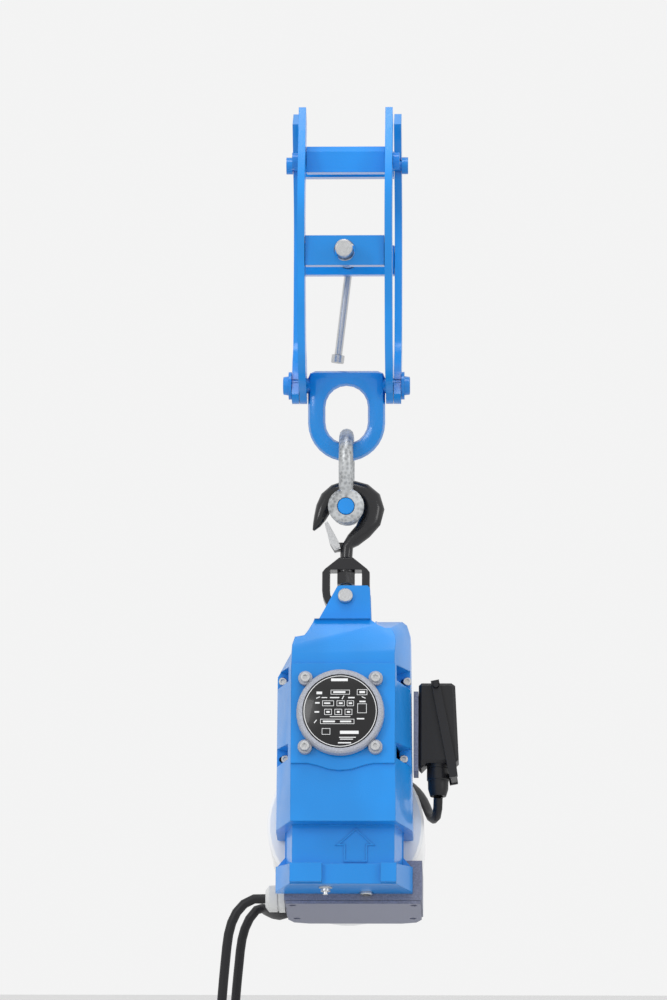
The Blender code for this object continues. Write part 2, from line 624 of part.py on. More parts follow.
def neck_and_block(y_front, y_back):
    """Waist under the wide part, and the lower block that flares out to the casing's full width."""
    waist = 0.0550
    neck = prism([(-waist - 0.008, y_back), (-waist, y_front), (waist, y_front), (waist + 0.008, y_back)],
                 "Z", NECK_TOP - 0.012, LEDGE + 0.010)
    return neck


def front_casing():
    body = add("front_casing", loft([
        (-GAP / 2, flange_outline()), (-FLANGE_T, flange_outline(-0.001)), (-FACE_Y, face_outline())]), BLUE, tipped)
    join(body, ear(-ear_out, -EAR_GAP))
    # raised upper panel with the bulge under the round cover
    raised = FACE_Y + 0.003
    panel_top, panel_low = CASE_TOP - 0.052, COVER_Z - 0.0545
    bulge = [(COVER_X + 0.036, panel_low), (COVER_X + 0.026, panel_low - 0.002),
             (COVER_X + 0.012, panel_low - 0.0066), (COVER_X, panel_low - 0.0078),
             (COVER_X - 0.012, panel_low - 0.0066), (COVER_X - 0.026, panel_low - 0.002),
             (COVER_X - 0.036, panel_low)]
    w = FACE_X
    panel = [(-w, panel_top), (-w, panel_low)] + bulge[::-1] + [(w - 0.001, panel_low), (w - 0.001, panel_top)]
    join(body, prism(panel, "Y", -raised, -FACE_Y + 0.004))
    # the face above the panel leans back
    lean_cut = prism([(-raised - 0.001, panel_top + 0.0005), (-0.0470, CASE_TOP - 0.001), (-0.0470, CASE_TOP + 0.0005),
                      (-0.09, CASE_TOP + 0.0005)], "X", -0.09, 0.09)
    cut(body, lean_cut)
    join(body, neck_and_block(-NECK_Y, -GAP / 2))
    # lower block: two pads beside a channel, and flared ears
    low, top = CASE_BOTTOM, NECK_TOP
    wide, near = FLANGE_X, 0.0570
    flare = [(-wide, -GAP / 2), (-near, -PAD_Y + 0.006), (near, -PAD_Y + 0.006), (wide, -GAP / 2)]
    block = skin([[(x, y, low) for x, y in flare],
                  [(x, y, top + (0.0 if abs(x) < wide else 0.006)) for x, y in flare]])
    block.normal_update()
    bmesh.ops.triangulate(block, faces=block.faces)
    join(body, block)
    for x0, x1 in ((-0.0570, -0.0225), (0.0405, 0.0575)):
        join(body, box(x0, x1, -PAD_Y, -PAD_Y + 0.012, low + 0.0012, top))
    # hollow inside, open at the parting plane
    shelf = CASE_TOP - 0.010
    cut(body,
        hollow(-FLANGE_X + 0.012, FLANGE_X - 0.012, -FACE_Y + WALL, 0.01, LEDGE + WALL, CASE_TOP - 0.060, 0.008),
        hollow(-0.050, 0.050, -0.042, 0.01, CASE_TOP - 0.065, shelf - 0.010, 0.004),
        box(-0.0480, 0.0480, -NECK_Y + WALL, 0.01, low + WALL, LEDGE + WALL + 0.002))
    # screw pockets in the sloping sides, with slanted roofs
    for x, z in CASING_SCREWS:
        sign = 1 if x > 0 else -1
        inner = x - sign * 0.0075
        pocket = prism(sorted_loop([(inner, z - 0.0085), (inner, z + 0.0085), (x + sign * 0.03, z + 0.0165),
                                    (x + sign * 0.03, z - 0.0085)]), "Y", -0.09, -FLANGE_T + 0.002)
        cut(body, pocket, cylinder("Y", (x, 0, z), -0.05, 0.01, SCREW_R + RUN, 12))
    # spigot hole of the round cover, rope exit, ear pin hole, swivel eye pocket
    cut(body,
        cylinder("Y", (COVER_X, 0, COVER_Z), -0.09, -0.030, 0.0340, 32),
        cylinder("Z", (ROPE_X, 0, 0), ROPE_TOP - 0.03, ROPE_TOP + 0.02, BUSH_R + GAP, 16),
        cylinder("Z", (-ROPE_X * 0.5, 0, 0), low - 0.01, low + 0.012, BUSH_R + GAP, 16),
        cylinder("Y", (0, 0, EAR_PIN_Z), -0.05, 0.05, EAR_PIN_R + RUN, 20),
        box(-0.040, 0.040, -EAR_GAP, 0.02, EAR_PIN_Z - 0.0225, -0.09))
    for x, z in COVER_SCREWS:
        cut(body, cylinder("Y", (x, 0, z), -raised - 0.01, -FACE_Y + 0.0045, COVER_SCREW_R + RUN, 10))


def sorted_loop(points):
    """Points of a convex outline in turning order."""
    cx = sum(p[0] for p in points) / len(points)
    cz = sum(p[1] for p in points) / len(points)
    return sorted(points, key=lambda p: math.atan2(p[1] - cz, p[0] - cx))


SCREW_R = 0.0030
BUSH_R = 0.0070
COVER_SCREW_R = 0.0025
CASING_SCREWS = [(-0.0675, -0.2105), (0.0640, -0.2105), (-0.0675, -0.2970), (0.0640, -0.2970)]
COVER_SCREWS = [(COVER_X + SCREW_PCD_R * math.cos(math.radians(a)), COVER_Z + SCREW_PCD_R * math.sin(math.radians(a)))
                for a in (45, 135, 225, 315)]
front_casing()


def rear_casing():
    """Rear shell: gear case behind the parting plane, thinner behind the lower block."""
    back = REAR_DEPTH
    outline = flange_outline()
    body = add("rear_casing", loft([(GAP / 2, outline), (back - 0.004, outline), (back, flange_outline(-0.003))]),
               BLUE, tipped)
    join(body, ear(EAR_GAP, ear_out))
    low = CASE_BOTTOM
    thin = BOX_Y0 - GAP
    join(body, prism([(-FLANGE_X, low), (FLANGE_X, low), (FLANGE_X, NECK_TOP + 0.004), (0.0640, NECK_TOP + 0.016),
                      (0.0640, LEDGE + 0.01), (-0.0640, LEDGE + 0.01), (-0.0640, NECK_TOP + 0.016),
                      (-FLANGE_X, NECK_TOP + 0.004)], "Y", GAP / 2, thin))
    join(body, box(-0.058, 0.058, GAP / 2, back - 0.002, BOX_TOP + GAP, LEDGE + 0.01))
    cut(body,
        hollow(-FLANGE_X + 0.008, FLANGE_X - 0.008, -0.01, back - WALL, LEDGE + WALL, CASE_TOP - 0.060, 0.0),
        hollow(-0.050, 0.050, -0.01, back - WALL, CASE_TOP - 0.065, CASE_TOP - 0.020, 0.0),
        box(-0.050, 0.050, -0.01, back - 0.010, BOX_TOP + WALL, LEDGE + WALL + 0.002),
        box(-0.048, 0.048, -0.01, GAP / 2 + 0.003, low + WALL, BOX_TOP + WALL + 0.002),
        cylinder("Y", (0, 0, MOTOR_Z), -0.01, back + 0.02, 0.0140, 24),
        cylinder("Z", (ROPE_X, 0, 0), ROPE_TOP - 0.03, ROPE_TOP + 0.02, BUSH_R + GAP, 16),
        cylinder("Z", (-ROPE_X * 0.5, 0, 0), low - 0.01, low + 0.012, BUSH_R + GAP, 16),
        cylinder("Y", (0, 0, EAR_PIN_Z), -0.05, 0.05, EAR_PIN_R + RUN, 20),
        box(-0.040, 0.040, -0.02, EAR_GAP, EAR_PIN_Z - 0.0225, -0.09))
    for x, z in CASING_SCREWS:
        cut(body, cylinder("Y", (x, 0, z), -0.05, 0.014, SCREW_R + RUN, 12))


rear_casing()


def round_cover():
    """Cast ring with four screw lugs and a recess for the name plate."""
    y = -(FACE_Y + 0.003) - GAP
    body = add("round_cover", turned([(y, 0.0435), (y - 0.004, 0.0475), (y - 0.010, COVER_R - 0.002),
                                      (y - 0.012, COVER_R - 0.004)], "Y", (COVER_X, 0, COVER_Z), 40), CAST, tipped)
    for x, z in COVER_SCREWS:
        join(body, turned([(y, 0.0078), (y - 0.0065, 0.0078), (y - 0.0075, 0.0068)], "Y", (x, 0, z), 14))
    join(body, cylinder("Y", (COVER_X, 0, COVER_Z), y - 0.002, y + 0.016, 0.0335, 32))
    cut(body, cylinder("Y", (COVER_X, 0, COVER_Z), y - 0.02, y - 0.0100, PLATE_R + GAP, 40),
        cylinder("Y", (COVER_X, 0, COVER_Z), y - 0.004, y + 0.03, 0.0080, 16))
    for x, z in COVER_SCREWS:
        cut(body, cylinder("Y", (x, 0, z), y - 0.02, y + 0.01, COVER_SCREW_R + RUN, 10))
    add("name_plate", turned([(y - 0.0100 - GAP, PLATE_R), (y - 0.0112, PLATE_R), (y - 0.0115, PLATE_R - 0.0005)], "Y",
                             (COVER_X, 0, COVER_Z), 40), BLACK, tipped)
    for number, (x, z) in enumerate(COVER_SCREWS, 1):
        top = y - 0.0075 - GAP
        screw = add("cover_screw_%d" % number, turned(
            [(top - 0.0040, SCREW_HEAD_R - 0.0006), (top - 0.0034, SCREW_HEAD_R), (top, SCREW_HEAD_R),
             (top, COVER_SCREW_R), (y + 0.005, COVER_SCREW_R)], "Y", (x, 0, z), 14), ZINC, tipped)
        cut(screw, cylinder("Y", (x, 0, z), top - 0.01, top - 0.0016, 0.0026, 6))


round_cover()


# ---------------------------------------------------------------- drive train (tipped frame)
def gear(teeth, axis_x, axis_z, y0, y1, phase, bore=0.0):
    """Spur gear with straight-flanked, slightly thinned teeth."""
    pitch = teeth * GEAR_MODULE / 2
    tip, root = pitch + 0.85 * GEAR_MODULE, pitch - 1.1 * GEAR_MODULE
    step = 2 * math.pi / teeth
    outline = []
    for i in range(teeth):
        centre = phase + i * step
        for radius, share in ((root, -0.36), (tip, -0.115), (tip, 0.115), (root, 0.36)):
            a = centre + share * step
            outline.append((axis_x + radius * math.cos(a), axis_z + radius * math.sin(a)))
    return prism(outline, "Y", y0, y1)


WHEEL_R = WHEEL_TEETH * GEAR_MODULE / 2
IDLER_R = IDLER_TEETH * GEAR_MODULE / 2
MOTOR_PINION_R = MOTOR_TEETH * GEAR_MODULE / 2
DRIVE_GEAR_R = SHEAVE_TEETH * GEAR_MODULE / 2
near_run = MOTOR_PINION_R + WHEEL_R + 0.0002          # motor to intermediate axis
far_run = DRIVE_GEAR_R + IDLER_R + 0.0002             # intermediate to sheave axis
line = Vector((COVER_X, COVER_Z)) - Vector((0, MOTOR_Z))
along = (near_run ** 2 - far_run ** 2 + line.length_squared) / (2 * line.length)
aside = math.sqrt(max(near_run ** 2 - along ** 2, 0.0))
unit = line.normalized()
INTER_X = unit.x * along + unit.y * aside
INTER_Z = MOTOR_Z + unit.y * along - unit.x * aside


def mesh_phase(from_x, from_z, to_x, to_z, teeth, phase, other):
    """Phase that puts a gap of the other gear opposite a tooth of the first."""
    way = math.atan2(to_z - from_z, to_x - from_x)
    step = 2 * math.pi / teeth
    offset = ((way - phase) / step) % 1.0
    other_step = 2 * math.pi / other
    return way + math.pi + (0.5 + offset) * other_step


def drive_train():
    sheave = add("drive_sheave", turned(
        [(-0.016, 0.0074), (-SHEAVE_T / 2, 0.0074), (-SHEAVE_T / 2, SHEAVE_R + 0.0045),
         (-0.0045, SHEAVE_R + 0.0045), (0.0, SHEAVE_R - 0.0008), (0.0045, SHEAVE_R + 0.0045),
         (SHEAVE_T / 2, SHEAVE_R + 0.0045), (SHEAVE_T / 2, 0.0074), (0.0330, 0.0074)],
        "Y", (COVER_X, 0, COVER_Z), 32), STEEL, tipped)
    join(sheave, cylinder("Y", (COVER_X, 0, COVER_Z), -0.052, -0.014, 0.0072, 20))
    wheel = add("drive_gear", gear(SHEAVE_TEETH, COVER_X, COVER_Z, 0.0100, 0.0180, 0.0), STEEL, tipped)
    cut(wheel, cylinder("Y", (COVER_X, 0, COVER_Z), 0, 0.05, 0.0074 + GAP, 20))
    idler_phase = mesh_phase(COVER_X, COVER_Z, INTER_X, INTER_Z, SHEAVE_TEETH, 0.0, IDLER_TEETH)
    middle = add("intermediate_gear", gear(IDLER_TEETH, INTER_X, INTER_Z, 0.0090, 0.0222, idler_phase), STEEL, tipped)
    join(middle, gear(WHEEL_TEETH, INTER_X, INTER_Z, 0.0220, 0.0290, 0.0),
         cylinder("Y", (INTER_X, 0, INTER_Z), 0.0040, 0.0340, 0.0050, 16))
    motor_phase = mesh_phase(INTER_X, INTER_Z, 0, MOTOR_Z, WHEEL_TEETH, 0.0, MOTOR_TEETH)
    y0 = REAR_DEPTH + GAP
    rotor_y = y0 + MOTOR_LENGTH - STATOR_LENGTH - 0.0005
    rotor = add("motor_rotor", turned(
        [(0.0330, 0.0060), (rotor_y, 0.0060), (rotor_y, 0.0420), (rotor_y + STATOR_LENGTH, 0.0420),
         (rotor_y + STATOR_LENGTH, 0.0060), (y0 + MOTOR_LENGTH + 0.013, 0.0060)], "Y", (0, 0, MOTOR_Z), 24),
        STEEL, tipped)
    join(rotor, gear(MOTOR_TEETH, 0, MOTOR_Z, 0.0215, 0.0335, motor_phase))
    add("motor_stator", turned(
        [(rotor_y, 0.0428), (rotor_y, MOTOR_R - 0.0045), (rotor_y + STATOR_LENGTH, MOTOR_R - 0.0045),
         (rotor_y + STATOR_LENGTH, 0.0428)], "Y", (0, 0, MOTOR_Z), 32, closed=True), STEEL, tipped)
    add("brake_disc", turned([(y0 + 0.018, 0.0064), (y0 + 0.018, 0.0500), (y0 + 0.026, 0.0500), (y0 + 0.026, 0.0064)],
                             "Y", (0, 0, MOTOR_Z), 24, closed=True), STEEL, tipped)
    end = y0 + MOTOR_LENGTH
    add("motor_housing", turned(
        [(y0, 0.0140), (y0, MOTOR_R - 0.003), (y0 + 0.003, MOTOR_R), (end, MOTOR_R), (end, MOTOR_R - 0.004),
         (y0 + 0.005, MOTOR_R - 0.004), (y0 + 0.005, 0.0140)], "Y", (0, 0, MOTOR_Z), 40, closed=True), WHITE, tipped)
    back = end + FAN_COVER_LENGTH
    add("fan_cover", turned(
        [(end + GAP, MOTOR_R - 0.003), (end + GAP, MOTOR_R), (back - 0.004, MOTOR_R), (back, MOTOR_R - 0.005),
         (back, 0.030), (back - 0.003, 0.030), (back - 0.003, MOTOR_R - 0.006)],
        "Y", (0, 0, MOTOR_Z), 40, closed=True), WHITE, tipped)
    fan = add("motor_fan", turned([(end + 0.003, 0.0062), (end + 0.003, 0.0200), (end + 0.012, 0.0180),
                                   (end + 0.012, 0.0062)], "Y", (0, 0, MOTOR_Z), 20, closed=True), PLASTIC, tipped)
    for i in range(7):
        blade = box(0.0170, 0.0700, end + 0.0035, end + 0.0115, -0.0010, 0.0010)
        turn = Matrix.Translation((0, 0, MOTOR_Z)) @ Matrix.Rotation(2 * math.pi * i / 7, 4, "Y")
        join(fan, moved(blade, turn))
    roller = (COVER_X - 0.0432, COVER_Z - 0.0432)
    add("pressure_roller", turned(
        [(-0.020, 0.004), (-0.006, 0.004), (-0.006, 0.0110), (-0.002, 0.0120), (0.002, 0.0120), (0.006, 0.0110),
         (0.006, 0.004), (0.020, 0.004)], "Y", (roller[0], 0, roller[1]), 20), STEEL, tipped)


drive_train()


def rope_bush(name, x, z, way):
    """Steel bush pinched between the two casing halves, standing a little proud."""
    profile = [(-0.011, 0.0044), (-0.011, BUSH_R), (0.0022, BUSH_R), (0.0030, BUSH_R - 0.001), (0.0030, 0.0044)]
    add(name, turned([(z + way * h, r) for h, r in profile], "Z", (x, 0, 0), 20, closed=True), ZINC, tipped)


rope_bush("upper_rope_bush", ROPE_X, ROPE_TOP, 1)
rope_bush("lower_rope_bush", -ROPE_X * 0.5, CASE_BOTTOM, -1)


# ---------------------------------------------------------------- terminal box and side connector (tipped frame)
def terminal_box():
    """Cast box under the motor, scooped out to the motor's curve, with a lid facing down."""
    top_of_lid = BOX_BOTTOM + LID_T + GAP
    taper = 0.004
    outline = [(BOX_X0, BOX_Y0), (BOX_X1, BOX_Y0), (BOX_X1, BOX_Y1 - 0.022), (BOX_X1 - 0.006, BOX_Y1 - 0.006),
               (BOX_X1 - 0.022, BOX_Y1), (BOX_X0 + 0.022, BOX_Y1), (BOX_X0 + 0.006, BOX_Y1 - 0.006), (BOX_X0, BOX_Y1 - 0.022)]
    body = add("terminal_box", prism(outline, "Z", top_of_lid, BOX_TOP), CAST, tipped)
    cut(body,
        cylinder("Y", (0, 0, MOTOR_Z), REAR_DEPTH - 0.004, 0.2, MOTOR_R + 2 * GAP, 40),
        box(BOX_X0 + WALL, BOX_X1 - WALL, BOX_Y0 + WALL, REAR_DEPTH - 0.008, top_of_lid - 0.01, BOX_TOP - WALL),
        box(BOX_X1 - 0.022, BOX_X1 - WALL, REAR_DEPTH - 0.010, BOX_Y1 - 0.030, top_of_lid - 0.01, BOX_TOP - 0.022),
        cylinder("X", (0, GLAND_Y, GLAND_Z), BOX_X0 - 0.01, BOX_X0 + 0.012, 0.0088, 16))
    inset = 0.0015
    lid_outline = [(x + (inset if x < 0 else -inset), y + (0 if y < 0.05 else -inset)) for x, y in outline]
    lid = add("terminal_lid", prism(lid_outline, "Z", BOX_BOTTOM, BOX_BOTTOM + LID_T), CAST, tipped)
    for x, y in LID_SCREWS:
        cut(lid, cylinder("Z", (x, y, 0), BOX_BOTTOM - 0.01, BOX_BOTTOM + 0.0022, 0.0040, 12))
    outer = BOX_X0 - GAP
    gland = add("cable_gland", turned(
        [(outer, 0.0150), (outer - 0.0065, 0.0150), (outer - 0.0065, 0.0130), (outer - 0.0085, 0.0130),
         (outer - 0.0085, GLAND_R), (outer - 0.0175, GLAND_R), (outer - 0.0215, 0.0095),
         (outer - 0.0215, POWER_D / 2 + GAP), (outer, POWER_D / 2 + GAP)], "X", (0, GLAND_Y, GLAND_Z), 12, closed=True),
        GREY, tipped)
    return gland


LID_SCREWS = [(BOX_X0 + 0.009, BOX_Y0 + 0.009), (BOX_X1 - 0.009, BOX_Y0 + 0.009),
              (BOX_X1 - 0.011, BOX_Y1 - 0.030), (BOX_X0 + 0.011, BOX_Y1 - 0.030)]
terminal_box()


def side_connector():
    """Rectangular plug connector on the casing's right side: bulkhead base, hood, locking lever and gland."""
    x0 = FLANGE_X + GAP
    x1 = x0 + 0.0052
    base = add("connector_base", box(x0, x1, CONN_Y0 + 0.003, CONN_Y1 - 0.003, CONN_BOTTOM - 0.010, CONN_TOP - 0.010),
               CAST, tipped)
    hood_x = x1 + GAP
    mid_y = (CONN_Y0 + CONN_Y1) / 2
    outline = [(hood_x, CONN_BOTTOM - 0.006), (hood_x + 0.006, CONN_BOTTOM - 0.006), (hood_x + 0.006, CONN_BOTTOM),
               (CONN_X1 - 0.004, CONN_BOTTOM), (CONN_X1, CONN_BOTTOM + 0.004), (CONN_X1 - 0.004, CONN_TOP - 0.003),
               (CONN_X1 - 0.008, CONN_TOP), (hood_x, CONN_TOP)]
    hood = add("connector_hood", prism(outline, "Y", CONN_Y0 + 0.0035, CONN_Y1 - 0.0035), PLASTIC, tipped)
    bevel(hood, 0.0030, 60)
    bpy.context.view_layer.update()
    done = hood.evaluated_get(bpy.context.evaluated_depsgraph_get())
    mesh = bpy.data.meshes.new_from_object(done)
    hood.modifiers.clear()
    hood.data = mesh
    join(hood, cylinder("Z", (CONN_GLAND_X, mid_y, 0), CONN_BOTTOM - 0.004, CONN_BOTTOM + 0.010, 0.0125, 16),
         cylinder("Y", (LEVER_X, 0, LEVER_Z), CONN_Y0 - 0.004, CONN_Y1 + 0.004, LEVER_PIN_R, 14))
    # lever: two arms joined by a bar across the hood's end
    catch = Vector((0.1178, CONN_BOTTOM - 0.013))
    pivot = Vector((LEVER_X, LEVER_Z))
    way = (catch - pivot).normalized()
    side = Vector((-way.y, way.x))
    arm = [pivot - way * 0.006 + side * 0.0045, pivot - way * 0.006 - side * 0.0045,
           catch - side * 0.0050 - way * 0.010, catch - side * 0.0050 + way * 0.004,
           catch + side * 0.0040 + way * 0.004, catch + side * 0.0050 - way * 0.010]
    outline = [tuple(p) for p in arm]
    lever = add("locking_lever", prism(outline, "Y", CONN_Y0 - 0.0005, CONN_Y0 + 0.0028), PLASTIC, tipped)
    join(lever, prism(outline, "Y", CONN_Y1 - 0.0028, CONN_Y1 + 0.0005))
    bar = [tuple(p) for p in (catch - way * 0.004 - side * 0.003, catch - way * 0.004 + side * 0.003,
                              catch + way * 0.003 + side * 0.003, catch + way * 0.003 - side * 0.003)]
    join(lever, prism(bar, "Y", CONN_Y0 + 0.001, CONN_Y1 - 0.001))
    cut(lever, cylinder("Y", (LEVER_X, 0, LEVER_Z), -0.02, 0.08, LEVER_PIN_R + GAP, 14))
    top = CONN_BOTTOM - 0.004 - GAP
    add("connector_gland", turned(
        [(top, 0.0125), (top - 0.012, 0.0125), (top - 0.013, 0.0115), (top - 0.022, 0.0112), (top - CONN_GLAND_LENGTH, 0.0088),
         (top - CONN_GLAND_LENGTH, CONTROL_D / 2 + GAP), (top, CONTROL_D / 2 + GAP)], "Z", (CONN_GLAND_X, mid_y, 0), 16, closed=True),
        PLASTIC, tipped)


LEVER_X, LEVER_Z = 0.0985, CONN_TOP - 0.004
LEVER_PIN_R = 0.0030
side_connector()


# ---------------------------------------------------------------- cables, plug and pendant
TIPPED = Matrix.Translation(tipped.location) @ Matrix.Rotation(-TIP_ANGLE, 4, "X")
COIL_TOP = -0.930           # the coils hang below here

POWER_ROUTE = [tuple(TIPPED @ Vector((BOX_X0 - GAP - 0.0215 - GAP, GLAND_Y, GLAND_Z)))] + [     # from the gland, down at the left
    (-0.0990, -0.0478, -0.7938), (-0.1100, -0.0479, -0.7990),
    (-0.1200, -0.0482, -0.8110), (-0.1270, -0.0487, -0.8310), (-0.1310, -0.0492, -0.8650),
    (-0.1320, -0.0497, -0.9050), (-0.1320, -0.0500, -0.9300),
]
CONTROL_START = [           # tipped frame: from the side connector, back over the motor and round behind it
    (0.1010, 0.0215, -0.3318), (0.1010, 0.0218, -0.3370), (0.1000, 0.0290, -0.3465), (0.0975, 0.0415, -0.3505),
    (0.0935, 0.0560, -0.3465), (0.0895, 0.0700, -0.3360), (0.0850, 0.0850, -0.3225), (0.0765, 0.1050, -0.3065),
    (0.0655, 0.1280, -0.2925), (0.0525, 0.1520, -0.2815), (0.0390, 0.1740, -0.2745), (0.0260, 0.1930, -0.2800),
    (0.0120, 0.2020, -0.3000), (-0.0050, 0.2040, -0.3350), (-0.0250, 0.2000, -0.3750), (-0.0500, 0.1940, -0.4120),
    (-0.0740, 0.1740, -0.4310), (-0.0870, 0.1430, -0.4340), (-0.0960, 0.1150, -0.4350),
]
CONTROL_HANG = [            # then plumb, down at the left
    (-0.1080, 0.0110, -0.8190), (-0.1155, 0.0135, -0.8400), (-0.1192, 0.0158, -0.8700),
    (-0.1200, 0.0168, -0.9050), (-0.1200, 0.0170, -0.9300),
]


def hanging_coil(word, route, diameter, layer_way):
    """Free cable down to a tied round coil, whose turns start at its left side; returns where the tail leaves."""
    radial = 1.1 * diameter
    x, y, _ = route[-1]
    centre = (x + COIL_R, y + layer_way * diameter * (COIL_LAYERS - 1) / 2, COIL_TOP - COIL_R - radial)
    half = COIL_LAYERS * diameter / 2 + 0.0008
    outer, inner = COIL_R + radial, COIL_R - radial
    inset = 0.3 * diameter
    profile = [(-half, outer - inset), (-half + inset, outer), (half - inset, outer), (half, outer - inset),
               (half, inner + inset), (half - inset, inner), (-half + inset, inner), (-half, inner + inset)]
    add(word + "_coil", turned(profile, "Y", centre, 32, closed=True), RUBBER)
    reach = COIL_R - diameter / 2 - 0.0020      # inner edge of the cable or of a strain relief
    drop = math.sqrt(outer ** 2 - reach ** 2)
    points = catmull(route + [(x, y, centre[2] + drop + GAP)], 2.2 * diameter)
    tube(word + "_cable", points, diameter / 2, RUBBER)
    return (x, centre[1] + layer_way * diameter * (COIL_LAYERS - 1) / 2, centre[2] - drop - 2 * GAP)


def mains_plug(x, y, top):
    """Moulded two-pin plug with a tapered strain relief, hanging from its coil."""
    r = POWER_D / 2
    body = add("mains_plug", turned(
        [(top, r + 0.0012), (top - 0.032, r + 0.0035), (top - 0.036, 0.0150), (top - 0.044, 0.0185),
         (top - 0.066, 0.0188), (top - 0.084, 0.0175), (top - 0.085, 0.0165)], "Z", (x, y, 0), 20), PLASTIC)
    for side in (-1, 1):
        join(body, turned([(top - 0.080, 0.0024), (top - 0.102, 0.0024), (top - 0.104, 0.0014)], "Z",
                          (x + side * 0.0095, y, 0), 10))


def pendant(x, y, top):
    """Hand control: body with strain relief, two travel buttons and an emergency stop on its front."""
    r = CONTROL_D / 2
    relief = 0.030
    z1 = top - relief
    z0 = z1 - PENDANT_HEIGHT
    w, d = PENDANT_WIDTH / 2, PENDANT_DEPTH / 2
    corner = 0.008
    outline = [(-w, -d + corner), (-w + corner, -d), (w - corner, -d), (w, -d + corner), (w, d - corner),
               (w - corner, d), (-w + corner, d), (-w, d - corner)]
    rings = []
    for z, scale in ((z1, 0.62), (z1 - 0.016, 1.0), (z0 + 0.012, 1.0), (z0, 0.84)):
        rings.append([(x + u * scale, y + v * scale, z) for u, v in outline])
    body = add("pendant_body", skin(rings), PLASTIC)
    join(body, turned([(z1 - 0.004, r + 0.0050), (z1 + 0.004, r + 0.0048), (top, r + 0.0012)], "Z", (x, y, 0), 16))
    front = y - d
    places = (("stop_button", z1 - 0.036, STOP_R, RED), ("up_button", z1 - 0.078, BUTTON_R, GREY),
              ("down_button", z1 - 0.112, BUTTON_R, GREY))
    for name, z, radius, colour in places:
        stem = radius - 0.004
        cut(body, cylinder("Y", (x, 0, z), front - 0.01, front + 0.016, stem + RUN, 20))
        lift = BUTTON_TRAVEL + RUN
        height = 0.006 if radius == BUTTON_R else 0.010
        add(name, turned([(front - lift - height, radius - 0.002), (front - lift - height + 0.002, radius),
                          (front - lift, radius), (front - lift, stem), (front + 0.010, stem)], "Y", (x, 0, z), 16),
            colour)


mains_plug(*hanging_coil("power", POWER_ROUTE, POWER_D, -1))
pendant(*hanging_coil("control", [tuple(TIPPED @ Vector(p)) for p in CONTROL_START] + CONTROL_HANG, CONTROL_D, 1))
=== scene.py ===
# %% [markdown]
# # Hoist on a girder clamp
# A compact through-rope hoist hangs from a girder clamp by an oval lug, a bow
# shackle and a swivel hook.  This notebook-style script gives the packed model
# its looks.  All places are in metres in the model's own frame: the origin is
# the middle of the girder flange's upper side, +Z is up and -Y is the front.

# %%
import json
import math

import bmesh
import bpy
from mathutils import Matrix, Vector

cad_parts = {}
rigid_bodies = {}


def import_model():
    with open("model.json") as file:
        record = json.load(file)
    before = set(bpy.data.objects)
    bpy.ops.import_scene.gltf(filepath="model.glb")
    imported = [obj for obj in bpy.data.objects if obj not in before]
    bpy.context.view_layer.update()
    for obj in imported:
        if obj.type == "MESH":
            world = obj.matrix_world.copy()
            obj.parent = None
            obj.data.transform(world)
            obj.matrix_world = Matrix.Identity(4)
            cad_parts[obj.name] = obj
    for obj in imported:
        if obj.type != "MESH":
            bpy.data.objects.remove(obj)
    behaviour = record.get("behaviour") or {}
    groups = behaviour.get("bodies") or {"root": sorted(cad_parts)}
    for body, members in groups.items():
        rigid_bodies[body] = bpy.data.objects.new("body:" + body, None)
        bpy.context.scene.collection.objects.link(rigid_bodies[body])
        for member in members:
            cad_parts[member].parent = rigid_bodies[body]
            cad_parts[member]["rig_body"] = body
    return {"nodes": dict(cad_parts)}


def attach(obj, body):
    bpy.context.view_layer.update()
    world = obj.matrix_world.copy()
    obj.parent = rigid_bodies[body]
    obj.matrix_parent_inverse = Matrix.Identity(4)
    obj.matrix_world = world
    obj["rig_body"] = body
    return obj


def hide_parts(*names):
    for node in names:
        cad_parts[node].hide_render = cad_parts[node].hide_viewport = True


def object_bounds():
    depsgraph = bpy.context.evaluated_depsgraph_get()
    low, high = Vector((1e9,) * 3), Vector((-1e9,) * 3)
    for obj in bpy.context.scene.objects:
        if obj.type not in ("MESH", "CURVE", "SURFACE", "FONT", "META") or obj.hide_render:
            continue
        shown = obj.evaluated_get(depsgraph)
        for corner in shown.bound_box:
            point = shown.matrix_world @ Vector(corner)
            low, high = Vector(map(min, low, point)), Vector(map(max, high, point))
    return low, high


for old in list(bpy.data.objects):
    bpy.data.objects.remove(old)
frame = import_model()
nodes = frame["nodes"]
start_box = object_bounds()

# %% [markdown]
# ## The hoist's own leaning frame
# The hook and everything under it hang tipped about the hook's saddle.  `tip`
# turns a point of that leaning frame (y away from the front, z along the
# hoist) into the model's frame, so that marks and screws sit flat on the
# casing.

# %%
TIP = math.radians(13.5)
SADDLE = Vector((0.0, 0.0, -0.3560))
LEAN = Matrix.Translation(SADDLE) @ Matrix.Rotation(-TIP, 4, "X")


def tip(x, y, z):
    return LEAN @ Vector((x, y, z))


print("plate middle:", tuple(round(v, 4) for v in tip(-0.0033, -0.0748, -0.2580)))

# %% [markdown]
# ## Camera
# A long lens from about six metres off, a little to the right and a little
# below the middle of the view, so the girder clamp is seen nearly square.

# %%
scene = bpy.context.scene
target = Vector((-0.0145, 0.0, -0.3575))
eye = Vector((0.17, -6.0, -0.588))
camera_data = bpy.data.cameras.new("main_camera")
camera_data.sensor_fit = "VERTICAL"
camera_data.sensor_height = 36.0
camera_data.lens = 36.0 * (target - eye).length / 1.100
camera_data.clip_start = 0.05
camera_data.clip_end = 60.0
camera = bpy.data.objects.new("main_camera", camera_data)
camera.location = eye
camera.rotation_euler = (target - eye).to_track_quat("-Z", "Y").to_euler()
scene.collection.objects.link(camera)
scene.camera = camera
print("lens: %.1f mm" % camera_data.lens)

